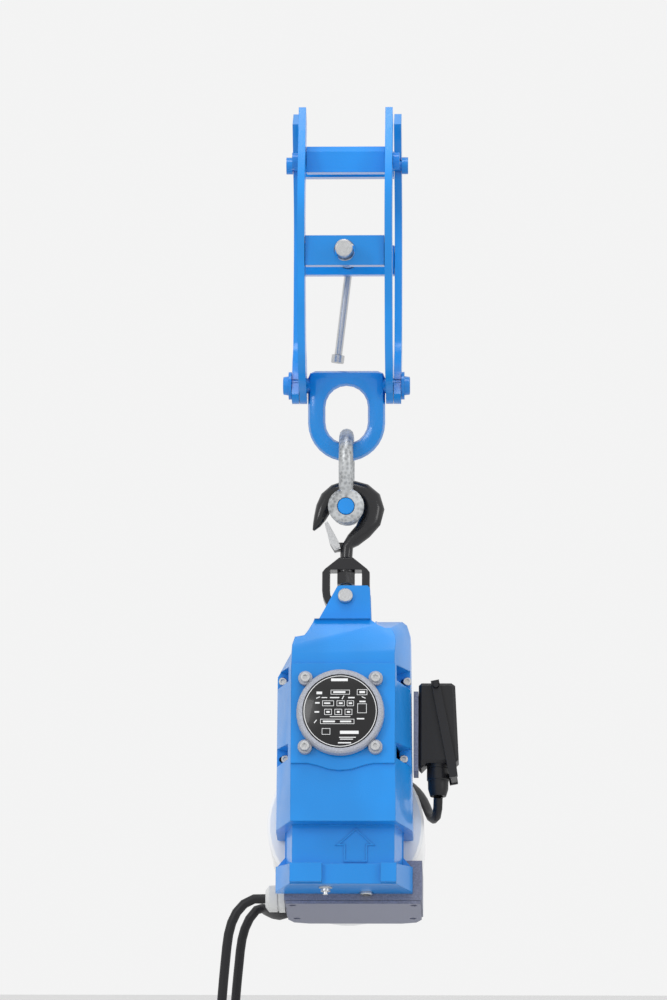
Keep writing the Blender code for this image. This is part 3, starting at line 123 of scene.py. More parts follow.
# %% [markdown]
# ## Cables
# Each cable is one open curve: it leaves its gland, hangs, winds four turns in
# a tied coil and comes out below, at the plug or at the hand control.  The
# turns are laid out slot by slot (outer or inner, layer by layer), and each
# change of slot starts a little earlier round the turn than the one before it,
# so that the strand never runs through itself.

#
# First comes the line itself.  A few given points are joined by a smooth curve that passes through
# each of them, which is easier to steer than handles.

# %%
def smooth_line(points, step):
    """A smooth curve through given points, read about every step metres."""
    points = [Vector(p) for p in points]
    ends = [2 * points[0] - points[1]] + points + [2 * points[-1] - points[-2]]
    fine = []
    for a, b, c, d in zip(ends, ends[1:], ends[2:], ends[3:]):
        for k in range(24):
            t = k / 24
            fine.append(0.5 * (2 * b + (c - a) * t + (2 * a - 5 * b + 4 * c - d) * t * t
                               + (3 * b - a - 3 * c + d) * t ** 3))
    fine.append(points[-1])
    out, run = [fine[0]], 0.0
    for a, b in zip(fine, fine[1:]):
        run += (b - a).length
        if run >= step:
            out.append(b)
            run = 0.0
    if (out[-1] - fine[-1]).length < 0.4 * step:
        out.pop()
    return out + [fine[-1]]


def length_of(points):
    return sum((b - a).length for a, b in zip(points, points[1:]))


print("smooth line check: %.3f m" % length_of(smooth_line([(0, 0, 0), (0, 0, 1)], 0.1)))

# %% [markdown]
# The coil is the turns of a cable hanging in a bundle.  A torus would look like
# a rubber ring, so the strand is really wound: each turn keeps to a slot across
# the bundle and eases over into the next one.

# %%
COIL_R = 0.060
COIL_TOP = -0.930


def ease(t):
    t = min(1.0, max(0.0, t))
    return t * t * (3 - 2 * t)


def coil_points(x, y, diameter, way):
    """Four turns from the coil's left side back to it, drifting back by two layers."""
    half = 0.52 * diameter
    layer = 1.03 * diameter
    centre = Vector((x + COIL_R, y, COIL_TOP - COIL_R - 1.1 * diameter))
    slots = [(half, 0.0), (-half, 0.0), (-half, layer), (half, layer), (half, 2 * layer)]
    changes = [310, 360 + 260, 720 + 210, 1080 + 160]
    line = []
    for degree in range(0, 4 * 360 + 1, 6):
        radial, back = slots[0]
        for number, begin in enumerate(changes):
            share = ease((degree - begin) / 50)
            radial += share * (slots[number + 1][0] - slots[number][0])
            back += share * (slots[number + 1][1] - slots[number][1])
        turn = math.radians(180 + degree)
        r = COIL_R + radial
        line.append(centre + Vector((r * math.cos(turn), way * back, r * math.sin(turn))))
    return line, centre


print("coil radius:", COIL_R)

# %% [markdown]
# A cable's sheath is a plain round tube.  A curve with a round bevel gives it
# quickly, and the curve is then turned into a mesh, so that the piece has a
# true box round it and exports as it is seen.

# %%
def tube_mesh(name, curve):
    """The curve's round tube as a mesh piece, shaded smooth."""
    rod = bpy.data.objects.new(name + "_line", curve)
    scene.collection.objects.link(rod)
    mesh = bpy.data.meshes.new_from_object(rod.evaluated_get(bpy.context.evaluated_depsgraph_get()))
    bpy.data.objects.remove(rod)
    for face in mesh.polygons:
        face.use_smooth = True
    piece = bpy.data.objects.new(name, mesh)
    scene.collection.objects.link(piece)
    return piece


def strand(name, points, diameter):
    curve = bpy.data.curves.new(name, "CURVE")
    curve.dimensions = "3D"
    curve.bevel_depth = diameter / 2
    curve.bevel_resolution = 3
    curve.use_fill_caps = True
    line = curve.splines.new("POLY")
    line.points.add(len(points) - 1)
    for point, place in zip(line.points, points):
        point.co = (*place, 1.0)
    line.use_smooth = True
    return tube_mesh(name, curve)


print("tube tools ready")

# %% [markdown]
# Both cables hang the same way, so one helper joins the way down, the coil and
# the short tail under it, where the plug or the hand control begins.  The
# supply cable starts at the terminal box, the control cable at the connector,
# and passes behind the motor.

# %%
def hung_cable(name, route, diameter, way, tail_gap):
    """Route down to the coil, the coil, and the short tail under it."""
    x, y, _ = route[-1]
    shift = 0.52 * diameter
    turns, centre = coil_points(x, y, diameter, way)
    drop = math.sqrt((COIL_R + 1.1 * diameter) ** 2 - (COIL_R - diameter / 2 - 0.002) ** 2)
    down = list(route[:-1]) + [(x - shift, y, centre.z + drop + 0.004)]
    first = smooth_line(down, 0.012)
    out = turns[-1]
    tail_top = centre.z - drop - tail_gap
    tail = smooth_line([tuple(out), (out.x + 0.1 * shift, out.y, out.z - 0.014),
                        (x - 0.35 * shift, out.y, out.z - 0.034), (x, out.y, tail_top)], 0.008)
    points = first + turns + tail[1:]
    piece = strand(name, points, diameter)
    return piece, points, centre


SUPPLY_D = 0.0108
CONTROL_D = 0.0104
TAIL_GAP = 0.001            # room between a cable's end and its plug or hand control

POWER_ROUTE = [
    tuple(tip(-0.0871, 0.0550, -0.4370)),
    (-0.0990, -0.0478, -0.7938), (-0.1100, -0.0479, -0.7990),
    (-0.1200, -0.0482, -0.8110), (-0.1270, -0.0487, -0.8310),
    (-0.1310, -0.0492, -0.8650), (-0.1345, -0.0497, -0.9050),
    (-0.1320, -0.0500, -0.9300),
]
CONTROL_START = [
    (0.1010, 0.0215, -0.3318), (0.1010, 0.0218, -0.3370), (0.1000, 0.0290, -0.3465),
    (0.0975, 0.0415, -0.3505), (0.0935, 0.0560, -0.3465), (0.0895, 0.0700, -0.3360),
    (0.0850, 0.0850, -0.3225), (0.0765, 0.1050, -0.3065), (0.0655, 0.1280, -0.2925),
    (0.0525, 0.1520, -0.2815), (0.0390, 0.1740, -0.2745), (0.0260, 0.1930, -0.2800),
    (0.0120, 0.2020, -0.3000), (-0.0050, 0.2040, -0.3350), (-0.0250, 0.2000, -0.3750),
    (-0.0500, 0.1940, -0.4120), (-0.0740, 0.1740, -0.4310), (-0.0870, 0.1430, -0.4340),
    (-0.0960, 0.1150, -0.4350),
]
CONTROL_HANG = [
    (-0.1080, 0.0110, -0.8190), (-0.1155, 0.0135, -0.8400), (-0.1192, 0.0158, -0.8700),
    (-0.1225, 0.0168, -0.9050), (-0.1200, 0.0170, -0.9300),
]
cable_power, power_points, power_centre = hung_cable(
    "supply_cable", POWER_ROUTE, SUPPLY_D, -1, TAIL_GAP)
cable_control, control_points, control_centre = hung_cable(
    "control_lead", [tuple(tip(*p)) for p in CONTROL_START] + CONTROL_HANG, CONTROL_D, 1, TAIL_GAP)
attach(cable_power, "hoist")
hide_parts("power_cable", "power_coil")
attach(cable_control, "hoist")
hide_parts("control_cable", "control_coil")
print("supply cable %.3f m, control cable %.3f m"
      % (length_of(power_points), length_of(control_points)))

# %% [markdown]
# Each coil is held by three black ties.  A tie is a thin rod bent into a rounded rectangle round
# the bundle: a plain ring would stand off the flat sides of the bundle, so its corners are squared
# by a power.

# %%
SQUARENESS = 4.0            # 2 is round, more is squarer
TIE_ROOM = 0.0012           # from the bundle to the middle of the tie


def tie(name, centre, way, degree, layers, diameter):
    """A flat band round the bundle of turns at one place."""
    turn = math.radians(degree)
    along = Vector((math.cos(turn), 0, math.sin(turn)))
    across = Vector((0, 1, 0))
    half = (layers - 1) / 2 * 1.03 * diameter
    middle = Vector((centre.x, centre.y + way * half, centre.z)) + along * COIL_R
    ring = []
    for k in range(33):
        a = 2 * math.pi * k / 32
        u, v = math.cos(a), math.sin(a)
        s = (abs(u) ** SQUARENESS + abs(v) ** SQUARENESS) ** (-1 / SQUARENESS)
        ring.append(middle + along * (s * u * (1.08 * diameter + TIE_ROOM))
                    + across * (s * v * (half + 0.55 * diameter + TIE_ROOM)))
    curve = bpy.data.curves.new(name, "CURVE")
    curve.dimensions = "3D"
    curve.bevel_depth = 0.0013
    curve.bevel_resolution = 2
    line = curve.splines.new("POLY")
    line.points.add(31)
    for point, place in zip(line.points, ring):
        point.co = (*place, 1.0)
    line.use_cyclic_u = True
    line.use_smooth = True
    piece = tube_mesh(name, curve)
    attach(piece, "hoist")
    return piece


TIE_PLACES = ((90, 3), (310, 2), (240, 2))      # degrees round the coil, layers there
ties_power = [tie("supply_tie_%d" % k, power_centre, -1, angle, layers, SUPPLY_D)
              for k, (angle, layers) in enumerate(TIE_PLACES)]
ties_control = [tie("control_tie_%d" % k, control_centre, 1, angle, layers, CONTROL_D)
                for k, (angle, layers) in enumerate(TIE_PLACES)]


def declare_cables():
    length_of(power_points)
    length_of(control_points)


print("ties:", len(ties_power) + len(ties_control))

# %% [markdown]
# ## Writing shaders as sums
# `Wave` wraps one shader socket, so a finish can be written as arithmetic.
# Numbers go through Math, colours and vectors through Mix and Vector Math, and
# `node` reaches any other node.  The same could be wired up by hand, node after
# node, but a sum is shorter and can be read back.

# %%
class Wave:
    def __init__(self, tree, socket):
        self.tree = tree
        self.socket = socket

    def wire(self, value, into):
        if isinstance(value, Wave):
            self.tree.links.new(value.socket, into)
        elif isinstance(value, (tuple, list)) and len(into.default_value) == 4 and len(value) == 3:
            into.default_value = (*value, 1.0)
        else:
            into.default_value = value

    def node(self, kind, inputs=None, output=0, **settings):
        made = self.tree.nodes.new(kind)
        for key, value in settings.items():
            setattr(made, key, value)
        for key, value in (inputs or {}).items():
            self.wire(value, made.inputs[key])
        return Wave(self.tree, made.outputs[output])

    def is_vector(self, other=None):
        kinds = ("VECTOR", "RGBA")
        return (self.socket.type in kinds or isinstance(other, (tuple, list))
                or (isinstance(other, Wave) and other.socket.type in kinds))

    def math(self, operation, a, b):
        if self.is_vector(a if a is not self else b):
            a = (a, a, a) if isinstance(a, (int, float)) else a
            b = (b, b, b) if isinstance(b, (int, float)) else b
            return self.node("ShaderNodeVectorMath", {0: a, 1: b}, operation=operation)
        return self.node("ShaderNodeMath", {0: a, 1: b}, operation=operation)

    def __add__(self, other):
        return self.math("ADD", self, other)

    def __radd__(self, other):
        return self.math("ADD", other, self)

    def __sub__(self, other):
        return self.math("SUBTRACT", self, other)

    def __rsub__(self, other):
        return self.math("SUBTRACT", other, self)

    def __mul__(self, other):
        return self.math("MULTIPLY", self, other)

    def __rmul__(self, other):
        return self.math("MULTIPLY", other, self)

    def ramp(self, low, high):
        """0 below low, 1 above high, smooth between."""
        limits = {"Value": self, "From Min": low, "From Max": high}
        return self.node("ShaderNodeMapRange", limits, interpolation_type="SMOOTHSTEP")

    def blend(self, first, second):
        """A colour between first and second, by this factor."""
        return self.node("ShaderNodeMix", {0: self, 6: first, 7: second}, output=2,
                         data_type="RGBA")


print("operators ready:", [name for name in vars(Wave) if name.strip("_") in ("add", "sub", "mul")])

# %% [markdown]
# `Finish` is one material.  What is the same all over the surface is set on the
# shader's own sockets, and only what varies is wired.  Its edges are rounded by
# a bevel in the shading, which catches the light as a real worn corner does and
# costs no faces.

# %%
class Finish:
    """One material: constants on the shader's sockets, varying values wired into a few of them."""

    def __init__(self, name, color, roughness=0.4, metallic=0.0, coat=0.0, coat_roughness=0.05):
        self.material = bpy.data.materials.new(name)
        self.material.use_nodes = True
        self.tree = self.material.node_tree
        self.shader = self.tree.nodes["Principled BSDF"]
        self.material.diffuse_color = (*color, 1.0)
        self.set("Base Color", (*color, 1.0))
        self.set("Roughness", roughness)
        self.set("Metallic", metallic)
        self.set("Coat Weight", coat)
        self.set("Coat Roughness", coat_roughness)
        self.set("IOR", 1.5)
        self.set("Specular IOR Level", 0.5 if metallic else 0.35)
        self.root = Wave(self.tree, self.shader.outputs[0])

    def set(self, socket, value):
        if isinstance(value, Wave):
            self.tree.links.new(value.socket, self.shader.inputs[socket])
        else:
            self.shader.inputs[socket].default_value = value

    def place(self):
        """The point's place in the object, in metres."""
        return self.root.node("ShaderNodeTexCoord", output=3)

    def noise(self, scale, detail=3.0, roughness=0.5):
        return self.root.node("ShaderNodeTexNoise", {"Vector": self.place(), "Scale": scale,
                                                     "Detail": detail, "Roughness": roughness})

    def cells(self, scale):
        return self.root.node("ShaderNodeTexVoronoi", {"Vector": self.place(), "Scale": scale,
                                                       "Randomness": 1.0})

    def relief(self, height, strength, distance, radius=0.0):
        """Bump from a height, with edges rounded to radius."""
        inputs = {"Height": height, "Strength": strength, "Distance": distance}
        if radius:
            inputs["Normal"] = self.root.node("ShaderNodeBevel", {"Radius": radius}, samples=4)
        self.set("Normal", self.root.node("ShaderNodeBump", inputs))


print("finish tools ready")

# %% [markdown]
# ## Enamels
# Girder clamp and casing share one azure enamel: thick on the clamp, with a
# fine orange peel, and a touch rougher on the castings.  The hook and its
# swivel are gloss black.

# %%
AZURE = (0.002, 0.245, 0.720)


def enamel(name, color, roughness, grain, strength, edge):
    made = Finish(name, color, roughness=roughness, coat=0.35, coat_roughness=0.10)
    drift = made.noise(9.0, 2.0).ramp(0.35, 0.7)
    light = tuple(min(1.0, 1.10 * c) for c in color)
    made.set("Base Color", drift.blend(tuple(0.90 * c for c in color), light))
    made.set("Roughness", roughness - 0.05 + made.noise(60.0, 3.0) * 0.12)
    made.relief(made.noise(grain, 2.0), strength, 0.0004, edge)
    return made.material


clamp_blue = enamel("clamp_enamel", AZURE, 0.30, 420.0, 0.30, 0.0011)
lug_blue = enamel("lug_enamel", AZURE, 0.22, 260.0, 0.45, 0.0012)
casing_blue = enamel("casing_enamel", AZURE, 0.36, 700.0, 0.30, 0.0016)
black_enamel = enamel("hook_enamel", (0.008, 0.008, 0.010), 0.24, 240.0, 0.40, 0.0012)
print("enamels:", clamp_blue.name, lug_blue.name, casing_blue.name, black_enamel.name)

# %% [markdown]
# ## Metals
# Zinc plate is bright with a fine speckle, the shackle has the large pale
# flowers of hot-dip galvanising, and the ring round the name plate is a plain
# fine-grained casting.

# %%
def zinc(name, color, roughness):
    made = Finish(name, color, roughness=roughness, metallic=1.0)
    speck = made.noise(900.0, 2.0).ramp(0.3, 0.75)
    made.set("Base Color", speck.blend(tuple(0.78 * c for c in color), color))
    made.set("Roughness", roughness + made.noise(120.0, 3.0) * 0.16 - 0.06)
    made.relief(made.noise(1100.0, 2.0), 0.12, 0.0003, 0.0004)
    return made.material


def galvanised():
    made = Finish("galvanised", (0.42, 0.44, 0.45), roughness=0.5, metallic=0.85)
    flower = made.cells(260.0).ramp(0.1, 0.7)
    cloud = made.noise(45.0, 4.0, 0.6).ramp(0.32, 0.68)
    tone = flower * 0.45 + cloud * 0.55
    made.set("Base Color", tone.blend((0.24, 0.25, 0.26), (0.66, 0.68, 0.69)))
    made.set("Roughness", 0.34 + cloud * 0.26)
    made.relief(made.noise(240.0, 4.0, 0.6), 0.5, 0.0006, 0.0010)
    return made.material


def casting(name, color, grain, roughness, metallic):
    made = Finish(name, color, roughness=roughness, metallic=metallic)
    sand = made.noise(grain, 3.0, 0.6).ramp(0.3, 0.72)
    pale = tuple(1.12 * c for c in color)
    made.set("Base Color", sand.blend(tuple(0.72 * c for c in color), pale))
    made.set("Roughness", roughness - 0.06 + sand * 0.14)
    made.relief(made.noise(grain, 3.0, 0.6), 0.45, 0.0005, 0.0010)
    return made.material


zinc_plate = zinc("zinc_plate", (0.66, 0.67, 0.68), 0.32)
bright_steel = zinc("machined_steel", (0.50, 0.51, 0.52), 0.30)
shackle_zinc = galvanised()
cast_ring = casting("cast_ring", (0.42, 0.44, 0.50), 900.0, 0.46, 0.35)
box_grey = casting("box_enamel", (0.200, 0.215, 0.300), 650.0, 0.44, 0.0)
metals = (zinc_plate, bright_steel, shackle_zinc, cast_ring, box_grey)
print("metals:", [material.name for material in metals])

# %% [markdown]
# ## Plastics, rubber and the plate
# Moulded parts, cable sheaths and the printed plate have one even colour, and
# only their gloss and their grain change over the surface.  An image could
# carry that too, but a little noise in roughness and bump does it with nothing
# to load, and stays sharp at every distance.

# %%
def moulded(name, color, roughness, grain=900.0, strength=0.15, edge=0.0010, coat=0.0):
    made = Finish(name, color, roughness=roughness, coat=coat)
    made.set("Roughness", roughness - 0.04 + made.noise(140.0, 3.0) * 0.10)
    made.relief(made.noise(grain, 2.0), strength, 0.0003, edge)
    return made.material


white_paint = moulded("white_housing", (0.86, 0.87, 0.88), 0.32, coat=0.3)
black_plastic = moulded("black_plastic", (0.012, 0.012, 0.014), 0.36)
grey_plastic = moulded("grey_plastic", (0.66, 0.67, 0.67), 0.42)
cable_black = moulded("cable_sheath", (0.010, 0.010, 0.012), 0.42, edge=0.0)
plate_black = moulded("plate_black", (0.006, 0.006, 0.007), 0.28,
                      strength=0.03, edge=0.0003, coat=0.2)
print_white = moulded("plate_print", (0.80, 0.81, 0.82), 0.5, strength=0.0, edge=0.0)
red_plastic = moulded("stop_red", (0.62, 0.015, 0.012), 0.32, coat=0.3)
light_button = moulded("button_grey", (0.62, 0.63, 0.64), 0.40)
plastics = (white_paint, black_plastic, grey_plastic, cable_black,
            plate_black, print_white, red_plastic, light_button)
print("plastics:", [material.name for material in plastics])

# %% [markdown]
# ## Finishes on the solids
# Every solid gets its finish by name.  The solids are faceted, because they
# come as flat triangles: turning up their count would cost memory everywhere.
# Instead each one is shown as a welded copy with smooth shading, in which only
# edges sharper than about 32 degrees stay hard, as a machined corner does.

# %%
LOOKS = {
    clamp_blue: "front_arm_left front_arm_right rear_arm_left rear_arm_right "
                "front_jaw_bar rear_jaw_bar front_jaw_bolt rear_jaw_bolt "
                "front_trunnion_block rear_trunnion_block lug_nut_left lug_nut_right "
                "shackle_pin",
    lug_blue: "lug",
    black_enamel: "hook swivel_eye thrust_washer hook_nut",
    zinc_plate: "spindle tommy_bar hook_latch latch_pin ear_pin cover_screw_1 "
                "cover_screw_2 cover_screw_3 cover_screw_4 upper_rope_bush lower_rope_bush",
    shackle_zinc: "shackle_bow",
    bright_steel: "drive_sheave drive_gear intermediate_gear motor_rotor motor_stator "
                  "brake_disc pressure_roller",
    casing_blue: "front_casing rear_casing",
    cast_ring: "round_cover",
    white_paint: "motor_housing fan_cover",
    box_grey: "terminal_box terminal_lid connector_base",
    plate_black: "name_plate",
    black_plastic: "motor_fan connector_hood locking_lever connector_gland mains_plug "
                   "pendant_body",
    grey_plastic: "cable_gland",
    light_button: "up_button down_button",
    red_plastic: "stop_button",
    cable_black: "power_cable power_coil control_cable control_coil",
}
HIDDEN = "power_cable power_coil control_cable control_coil".split()


CORNER = math.radians(32)


def smoothed(name):
    """The solid again as one welded skin: curves shaded smooth, real corners kept sharp."""
    form = bmesh.new()
    form.from_mesh(nodes[name].data)
    bmesh.ops.remove_doubles(form, verts=form.verts, dist=1e-6)
    for face in form.faces:
        face.smooth = True
    for edge in form.edges:
        edge.smooth = len(edge.link_faces) == 2 and edge.calc_face_angle(0.0) < CORNER
    mesh = bpy.data.meshes.new(name + "_skin")
    form.to_mesh(mesh)
    form.free()
    made = bpy.data.objects.new(name + "_skin", mesh)
    scene.collection.objects.link(made)
    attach(made, nodes[name]["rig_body"])
    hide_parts(name)
    return made


dressed, skins = 0, {}
for material, names in LOOKS.items():
    for name in names.split():
        mesh = nodes[name].data
        mesh.materials.clear()
        mesh.materials.append(material)
        if name not in HIDDEN:
            skins[name] = smoothed(name)
            skins[name].data.materials.append(material)
        dressed += 1
for piece in (cable_power, cable_control):
    piece.data.materials.append(cable_black)
for piece in ties_power + ties_control:
    piece.data.materials.append(black_plastic)
declare_cables()
print("finished solids:", dressed)

# %% [markdown]
# ## Small pieces on the casing
# Flat prints are thin plates lying on their face, and screws are turned shapes
# with a sunk round socket.  The helpers below write their corners and faces
# directly in the hoist's leaning frame, and every piece rides on the hoist.

# %%
def piece_from(name, verts, faces, material, body="hoist"):
    mesh = bpy.data.meshes.new(name)
    mesh.from_pydata([tuple(v) for v in verts], [], faces)
    mesh.update()
    mesh.materials.append(material)
    made = bpy.data.objects.new(name, mesh)
    scene.collection.objects.link(made)
    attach(made, body)
    return made


def slabs(name, outlines, y, thick, material):
    """Flat shapes standing thick off the plane y, towards the front.

    Each outline is a loop of x, z in the leaning frame.
    """
    verts, faces = [], []
    for loop in outlines:
        area = sum(a[0] * b[1] - b[0] * a[1] for a, b in zip(loop, loop[1:] + loop[:1]))
        loop = loop if area > 0 else loop[::-1]
        base, n = len(verts), len(loop)
        verts += [tip(x, y, z) for x, z in loop]
        verts += [tip(x, y - thick, z) for x, z in loop]
        faces.append([base + n + k for k in range(n)])
        faces.append([base + k for k in reversed(range(n))])
        faces += [[base + k, base + (k + 1) % n, base + n + (k + 1) % n, base + n + k]
                  for k in range(n)]
    return piece_from(name, verts, faces, material)


def bar(x0, z0, x1, z1, width):
    """A straight stroke as a four-cornered loop."""
    along = Vector((x1 - x0, z1 - z0)).normalized()
    side = Vector((-along.y, along.x)) * width / 2
    a, b = Vector((x0, z0)), Vector((x1, z1))
    return [tuple(a - side), tuple(b - side), tuple(b + side), tuple(a + side)]


def rect(x, z, w, h):
    return [(x - w / 2, z - h / 2), (x + w / 2, z - h / 2),
            (x + w / 2, z + h / 2), (x - w / 2, z + h / 2)]


def frame_of(x, z, w, h, line):
    """A rectangle's outline as four strokes."""
    return [rect(x, z + h / 2, w + line, line), rect(x, z - h / 2, w + line, line),
            rect(x - w / 2, z, line, h - line), rect(x + w / 2, z, line, h - line)]


print("piece tools ready")

# %% [markdown]
# The name plate is printed white on black.  It carries generic boxes, bars and
# strokes only, with no words.  Each is a thin slab on the plate's face, made
# from its outline, so it stays crisp where a painted image would blur.

# %%
PLATE = (-0.0033, -0.2580)
PLATE_FACE = -0.0745 - 0.0003


def on_plate(shapes):
    return [[(x + PLATE[0], z + PLATE[1]) for x, z in loop] for loop in shapes]


print("plate middle in the leaning frame:", PLATE)

# %% [markdown]
# Boxes first, each drawn as four thin strokes.

# %%
printed = []
for x, z, w, h in ((0.000, 0.0208, 0.020, 0.0046), (0.0235, 0.0208, 0.0105, 0.0058),
                   (-0.0130, 0.0085, 0.0120, 0.0056), (0.0005, 0.0085, 0.0080, 0.0056),
                   (0.0110, 0.0085, 0.0070, 0.0056), (-0.0130, -0.0010, 0.0075, 0.0060),
                   (-0.0020, -0.0010, 0.0075, 0.0060), (0.0090, -0.0010, 0.0075, 0.0060),
                   (0.0235, 0.0030, 0.0095, 0.0100), (-0.0030, -0.0115, 0.0360, 0.0050),
                   (-0.0150, -0.0225, 0.0085, 0.0065)):
    printed += frame_of(x, z, w, h, 0.00050)
print("box strokes:", len(printed))

# %% [markdown]
# Then solid bars in and between the boxes, a few slanted strokes for signs, and
# a fine ring round the edge.

# %%
for x, z, w, h in ((-0.001, 0.0345, 0.018, 0.0030), (-0.0225, 0.0200, 0.0060, 0.0028),
                   (-0.0010, 0.0209, 0.0130, 0.0020), (0.0236, 0.0209, 0.0060, 0.0024),
                   (-0.0245, 0.0090, 0.0048, 0.0016), (0.0240, 0.0105, 0.0066, 0.0016),
                   (-0.0250, -0.0010, 0.0050, 0.0016), (-0.0140, 0.0086, 0.0066, 0.0016),
                   (0.0006, 0.0086, 0.0040, 0.0018), (0.0110, 0.0086, 0.0036, 0.0018),
                   (-0.0130, -0.0010, 0.0036, 0.0020), (-0.0020, -0.0010, 0.0030, 0.0022),
                   (0.0090, -0.0010, 0.0034, 0.0020), (-0.0120, -0.0115, 0.0130, 0.0018),
                   (0.0060, -0.0115, 0.0120, 0.0018), (0.0100, -0.0235, 0.0200, 0.0034),
                   (0.0080, -0.0290, 0.0180, 0.0009), (0.0070, -0.0310, 0.0140, 0.0009),
                   (0.0050, -0.0350, 0.0140, 0.0013), (-0.0060, 0.0148, 0.0100, 0.0012),
                   (0.0120, 0.0148, 0.0070, 0.0014), (-0.0170, 0.0148, 0.0060, 0.0010),
                   (0.0000, -0.0062, 0.0220, 0.0008), (0.0220, -0.0085, 0.0080, 0.0014)):
    printed.append(rect(x, z, w, h))
HALF_STROKE = 0.0022
for x, z, turn in ((-0.0238, 0.0148, 0.4), (0.0252, 0.0150, -0.4),
                   (0.0030, 0.0150, 1.1), (-0.0265, -0.0115, 0.9)):
    across, up = HALF_STROKE * math.cos(turn), HALF_STROKE * math.sin(turn)
    printed.append(bar(x - across, z - up, x + across, z + up, 0.0009))
slabs("plate_marks", on_plate(printed), PLATE_FACE, 0.00018, print_white)

RING_R = 0.0392
RING_WIDTH = 0.0007
RING_STEPS = 48
inner_r = RING_R - RING_WIDTH
ring = []
for k in range(RING_STEPS):
    a, b = 2 * math.pi * k / RING_STEPS, 2 * math.pi * (k + 1) / RING_STEPS
    ring.append([(RING_R * math.cos(a), RING_R * math.sin(a)),
                 (RING_R * math.cos(b), RING_R * math.sin(b)),
                 (inner_r * math.cos(b), inner_r * math.sin(b)),
                 (inner_r * math.cos(a), inner_r * math.sin(a))])
slabs("plate_ring", on_plate(ring), PLATE_FACE, 0.00016, print_white)
print("marks:", len(printed) + len(ring))

# %% [markdown]
# An outlined arrow stands proud of the neck, pointing up.  A bump could draw
# it, but a bump casts no shadow and has no edge seen from the side, so the
# outline is a real band: the loop, and the same loop moved inwards.

# %%
def outline_band(loop, width):
    """The strip between a closed loop and the same loop moved inwards by width."""
    points = [Vector(p) for p in loop]
    area = sum(a.x * b.y - b.x * a.y for a, b in zip(points, points[1:] + points[:1]))
    if area < 0:
        points.reverse()
    inner = []
    for before, here, after in zip([points[-1]] + points, points, points[1:] + points[:1]):
        u, v = (here - before).normalized(), (after - here).normalized()
        nu, nv = Vector((-u.y, u.x)), Vector((-v.y, v.x))
        miter = nu + nv
        miter = miter / max(0.25, miter.length_squared / 2)
        inner.append(here + miter * width)
    return [[tuple(a), tuple(b), tuple(d), tuple(c)]
            for a, b, c, d in zip(points, points[1:] + points[:1], inner, inner[1:] + inner[:1])]


arrow = [(0.0135, -0.3790), (0.0345, -0.3985), (0.0260, -0.3985), (0.0260, -0.4165),
         (0.0005, -0.4165), (0.0005, -0.3985), (-0.0085, -0.3985)]
arrow_mark = slabs("raised_arrow", outline_band(arrow, 0.0020), -0.0405, 0.0016,
                   casing_blue)
print("arrow strips:", len(arrow_mark.data.polygons))

# %% [markdown]
# Socket screws sit in the four pockets of the casing's parting flange.  Each
# is built ring by ring, the last one sunk below the rim, so the socket is a
# real recess.  Its bottom is left round, which is not seen at this size.

# %%
def socket_screw(name, x, z, y, radius, tall, material):
    """A cap screw whose head stands from y towards the front, with a sunk socket."""
    verts, faces, rings = [], [], []
    n = 24
    socket_r = 0.52 * radius
    for r, h in ((radius, 0.0), (radius, tall - 0.0007), (radius - 0.0007, tall),
                 (socket_r, tall), (socket_r, tall - 0.0020)):
        rings.append(len(verts))
        verts += [tip(x + r * math.cos(2 * math.pi * k / n), y - h,
                      z + r * math.sin(2 * math.pi * k / n)) for k in range(n)]
    for a, b in zip(rings, rings[1:]):
        faces += [[a + k, a + (k + 1) % n, b + (k + 1) % n, b + k] for k in range(n)]
    faces.append([rings[-1] + k for k in range(n)])
    faces.append([rings[0] + k for k in reversed(range(n))])
    return piece_from(name, verts, faces, material)


casing_screws = []
for side in (-1, 1):
    for z, x in ((-0.2105, 0.0675), (-0.2970, 0.0640)):
        name = "casing_screw_%d" % (len(casing_screws) + 1)
        casing_screws.append(socket_screw(name, side * x, z, -0.0100, 0.0046, 0.0050, zinc_plate))
print("casing screws:", len(casing_screws))

# %% [markdown]
# The terminal box has a row of small rim screws, and the casing an earthing
# bolt on its underside.  Motor housing and fan cover meet at a dark seal.  All
# are round, so one helper turns a short list of steps and radii into each.

# %%
def turned_piece(name, profile, middle, way, material, steps=24):
    """A shape turned about a line through middle, from pairs of place along it and radius."""
    axis = Vector(way).normalized()
    side = axis.orthogonal().normalized()
    other = axis.cross(side)
    verts, faces = [], []
    for along, r in profile:
        for k in range(steps):
            a = 2 * math.pi * k / steps
            verts.append(tip(*(Vector(middle) + axis * along + side * (r * math.cos(a))
                               + other * (r * math.sin(a)))))
    rows = len(profile)
    for row in range(rows - 1):
        for k in range(steps):
            a, b = row * steps + k, row * steps + (k + 1) % steps
            faces.append([a, b, b + steps, a + steps])
    faces.append([k for k in reversed(range(steps))])
    faces.append([(rows - 1) * steps + k for k in range(steps)])
    return piece_from(name, verts, faces, material)


rim_screws = [turned_piece("rim_screw_%d" % k, [(0.0, 0.0026), (0.0016, 0.0026), (0.0022, 0.0018)],
                           (x, 0.0075, -0.4230), (0, -1, 0), zinc_plate, 14)
              for k, x in enumerate((-0.0520, 0.0100, 0.0700), 1)]
turned_piece("earth_bolt", [(0.0, 0.0072), (0.0015, 0.0072), (0.0016, 0.0052),
                            (0.0052, 0.0052), (0.0053, 0.0028), (0.0085, 0.0028)],
             (-0.0190, -0.0300, -0.4410), (0, 0, -1), zinc_plate, 18)
turned_piece("motor_seal", [(0.0, 0.0845), (0.0026, 0.0845)], (0.0, 0.1532, -0.3580),
             (0, 1, 0), black_plastic, 64)
print("rim screws:", len(rim_screws))

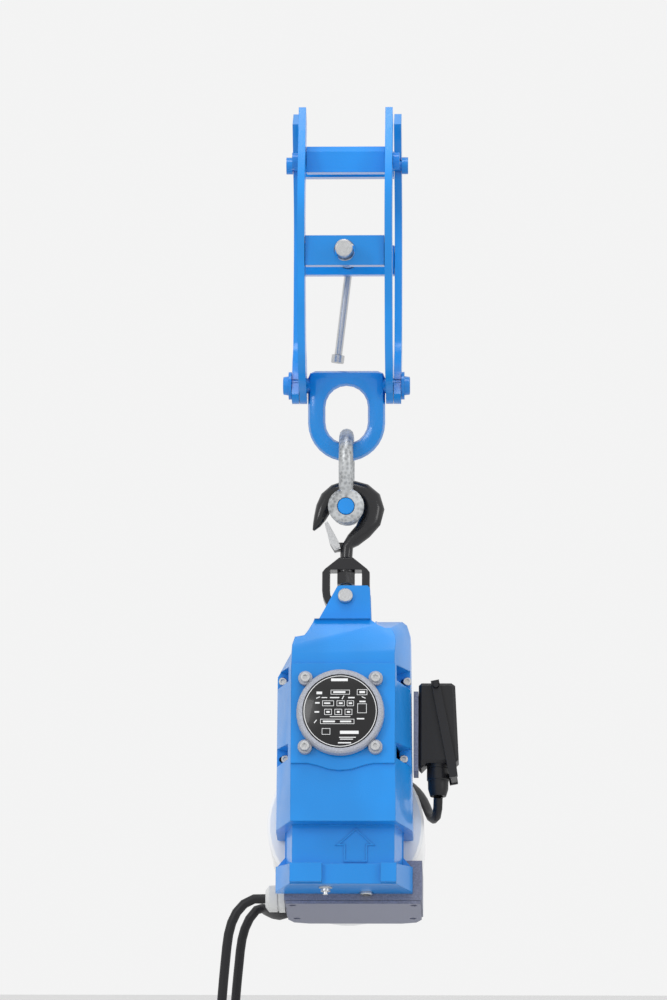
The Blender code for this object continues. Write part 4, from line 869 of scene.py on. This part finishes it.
# %% [markdown]
# ## Light and room
# A white studio: a pale floor far below the hanging cables, an even white
# world all round, one large soft light at each side and one above.  Soft lights
# keep the enamel's highlights broad.  Standard colour handling keeps the white
# white and the blue strong, where a film-like one would wash both out.

# %%
def backdrop(name, corners, color):
    made = Finish(name + "_paint", color, roughness=0.85)
    mesh = bpy.data.meshes.new(name)
    mesh.from_pydata(corners, [], [tuple(range(len(corners)))])
    mesh.materials.append(made.material)
    piece = bpy.data.objects.new(name, mesh)
    scene.collection.objects.link(piece)
    return piece


FLOOR_HALF = 14
low = start_box[0].z - 0.40     # well under the hanging cables
backdrop("floor", [(-FLOOR_HALF, -FLOOR_HALF, low), (FLOOR_HALF, -FLOOR_HALF, low),
                   (FLOOR_HALF, FLOOR_HALF, low), (-FLOOR_HALF, FLOOR_HALF, low)],
         (0.78, 0.78, 0.78))
world = bpy.data.worlds.new("studio")
world.use_nodes = True
world.node_tree.nodes["Background"].inputs["Color"].default_value = (1.0, 1.0, 1.0, 1.0)
world.node_tree.nodes["Background"].inputs["Strength"].default_value = 0.90
scene.world = world
print("floor at", round(low, 3))

# %% [markdown]
# Each lamp is a large soft rectangle turned towards the hoist.  The left one is
# the key, the right one fills, and the one above lights the top edges.

# %%
def soft_light(name, place, aim, size, power):
    lamp = bpy.data.lights.new(name, "AREA")
    lamp.shape = "RECTANGLE"
    lamp.size, lamp.size_y = size
    lamp.energy = power
    made = bpy.data.objects.new(name, lamp)
    made.location = place
    made.rotation_euler = (Vector(aim) - Vector(place)).to_track_quat("-Z", "Y").to_euler()
    scene.collection.objects.link(made)
    return made


soft_light("key_left", (-2.2, -3.0, 1.1), (0, 0, -0.45), (0.9, 1.4), 26)
soft_light("key_right", (2.8, -2.2, 0.6), (0, 0, -0.45), (0.7, 1.6), 14)
soft_light("top", (0.0, -0.9, 2.4), (0, 0, -0.4), (1.4, 1.0), 22)
scene.view_settings.view_transform = "Standard"

# %% [markdown]
# ## Last update
# The view layer is brought up to date at the end.

# %%
bpy.context.view_layer.update()
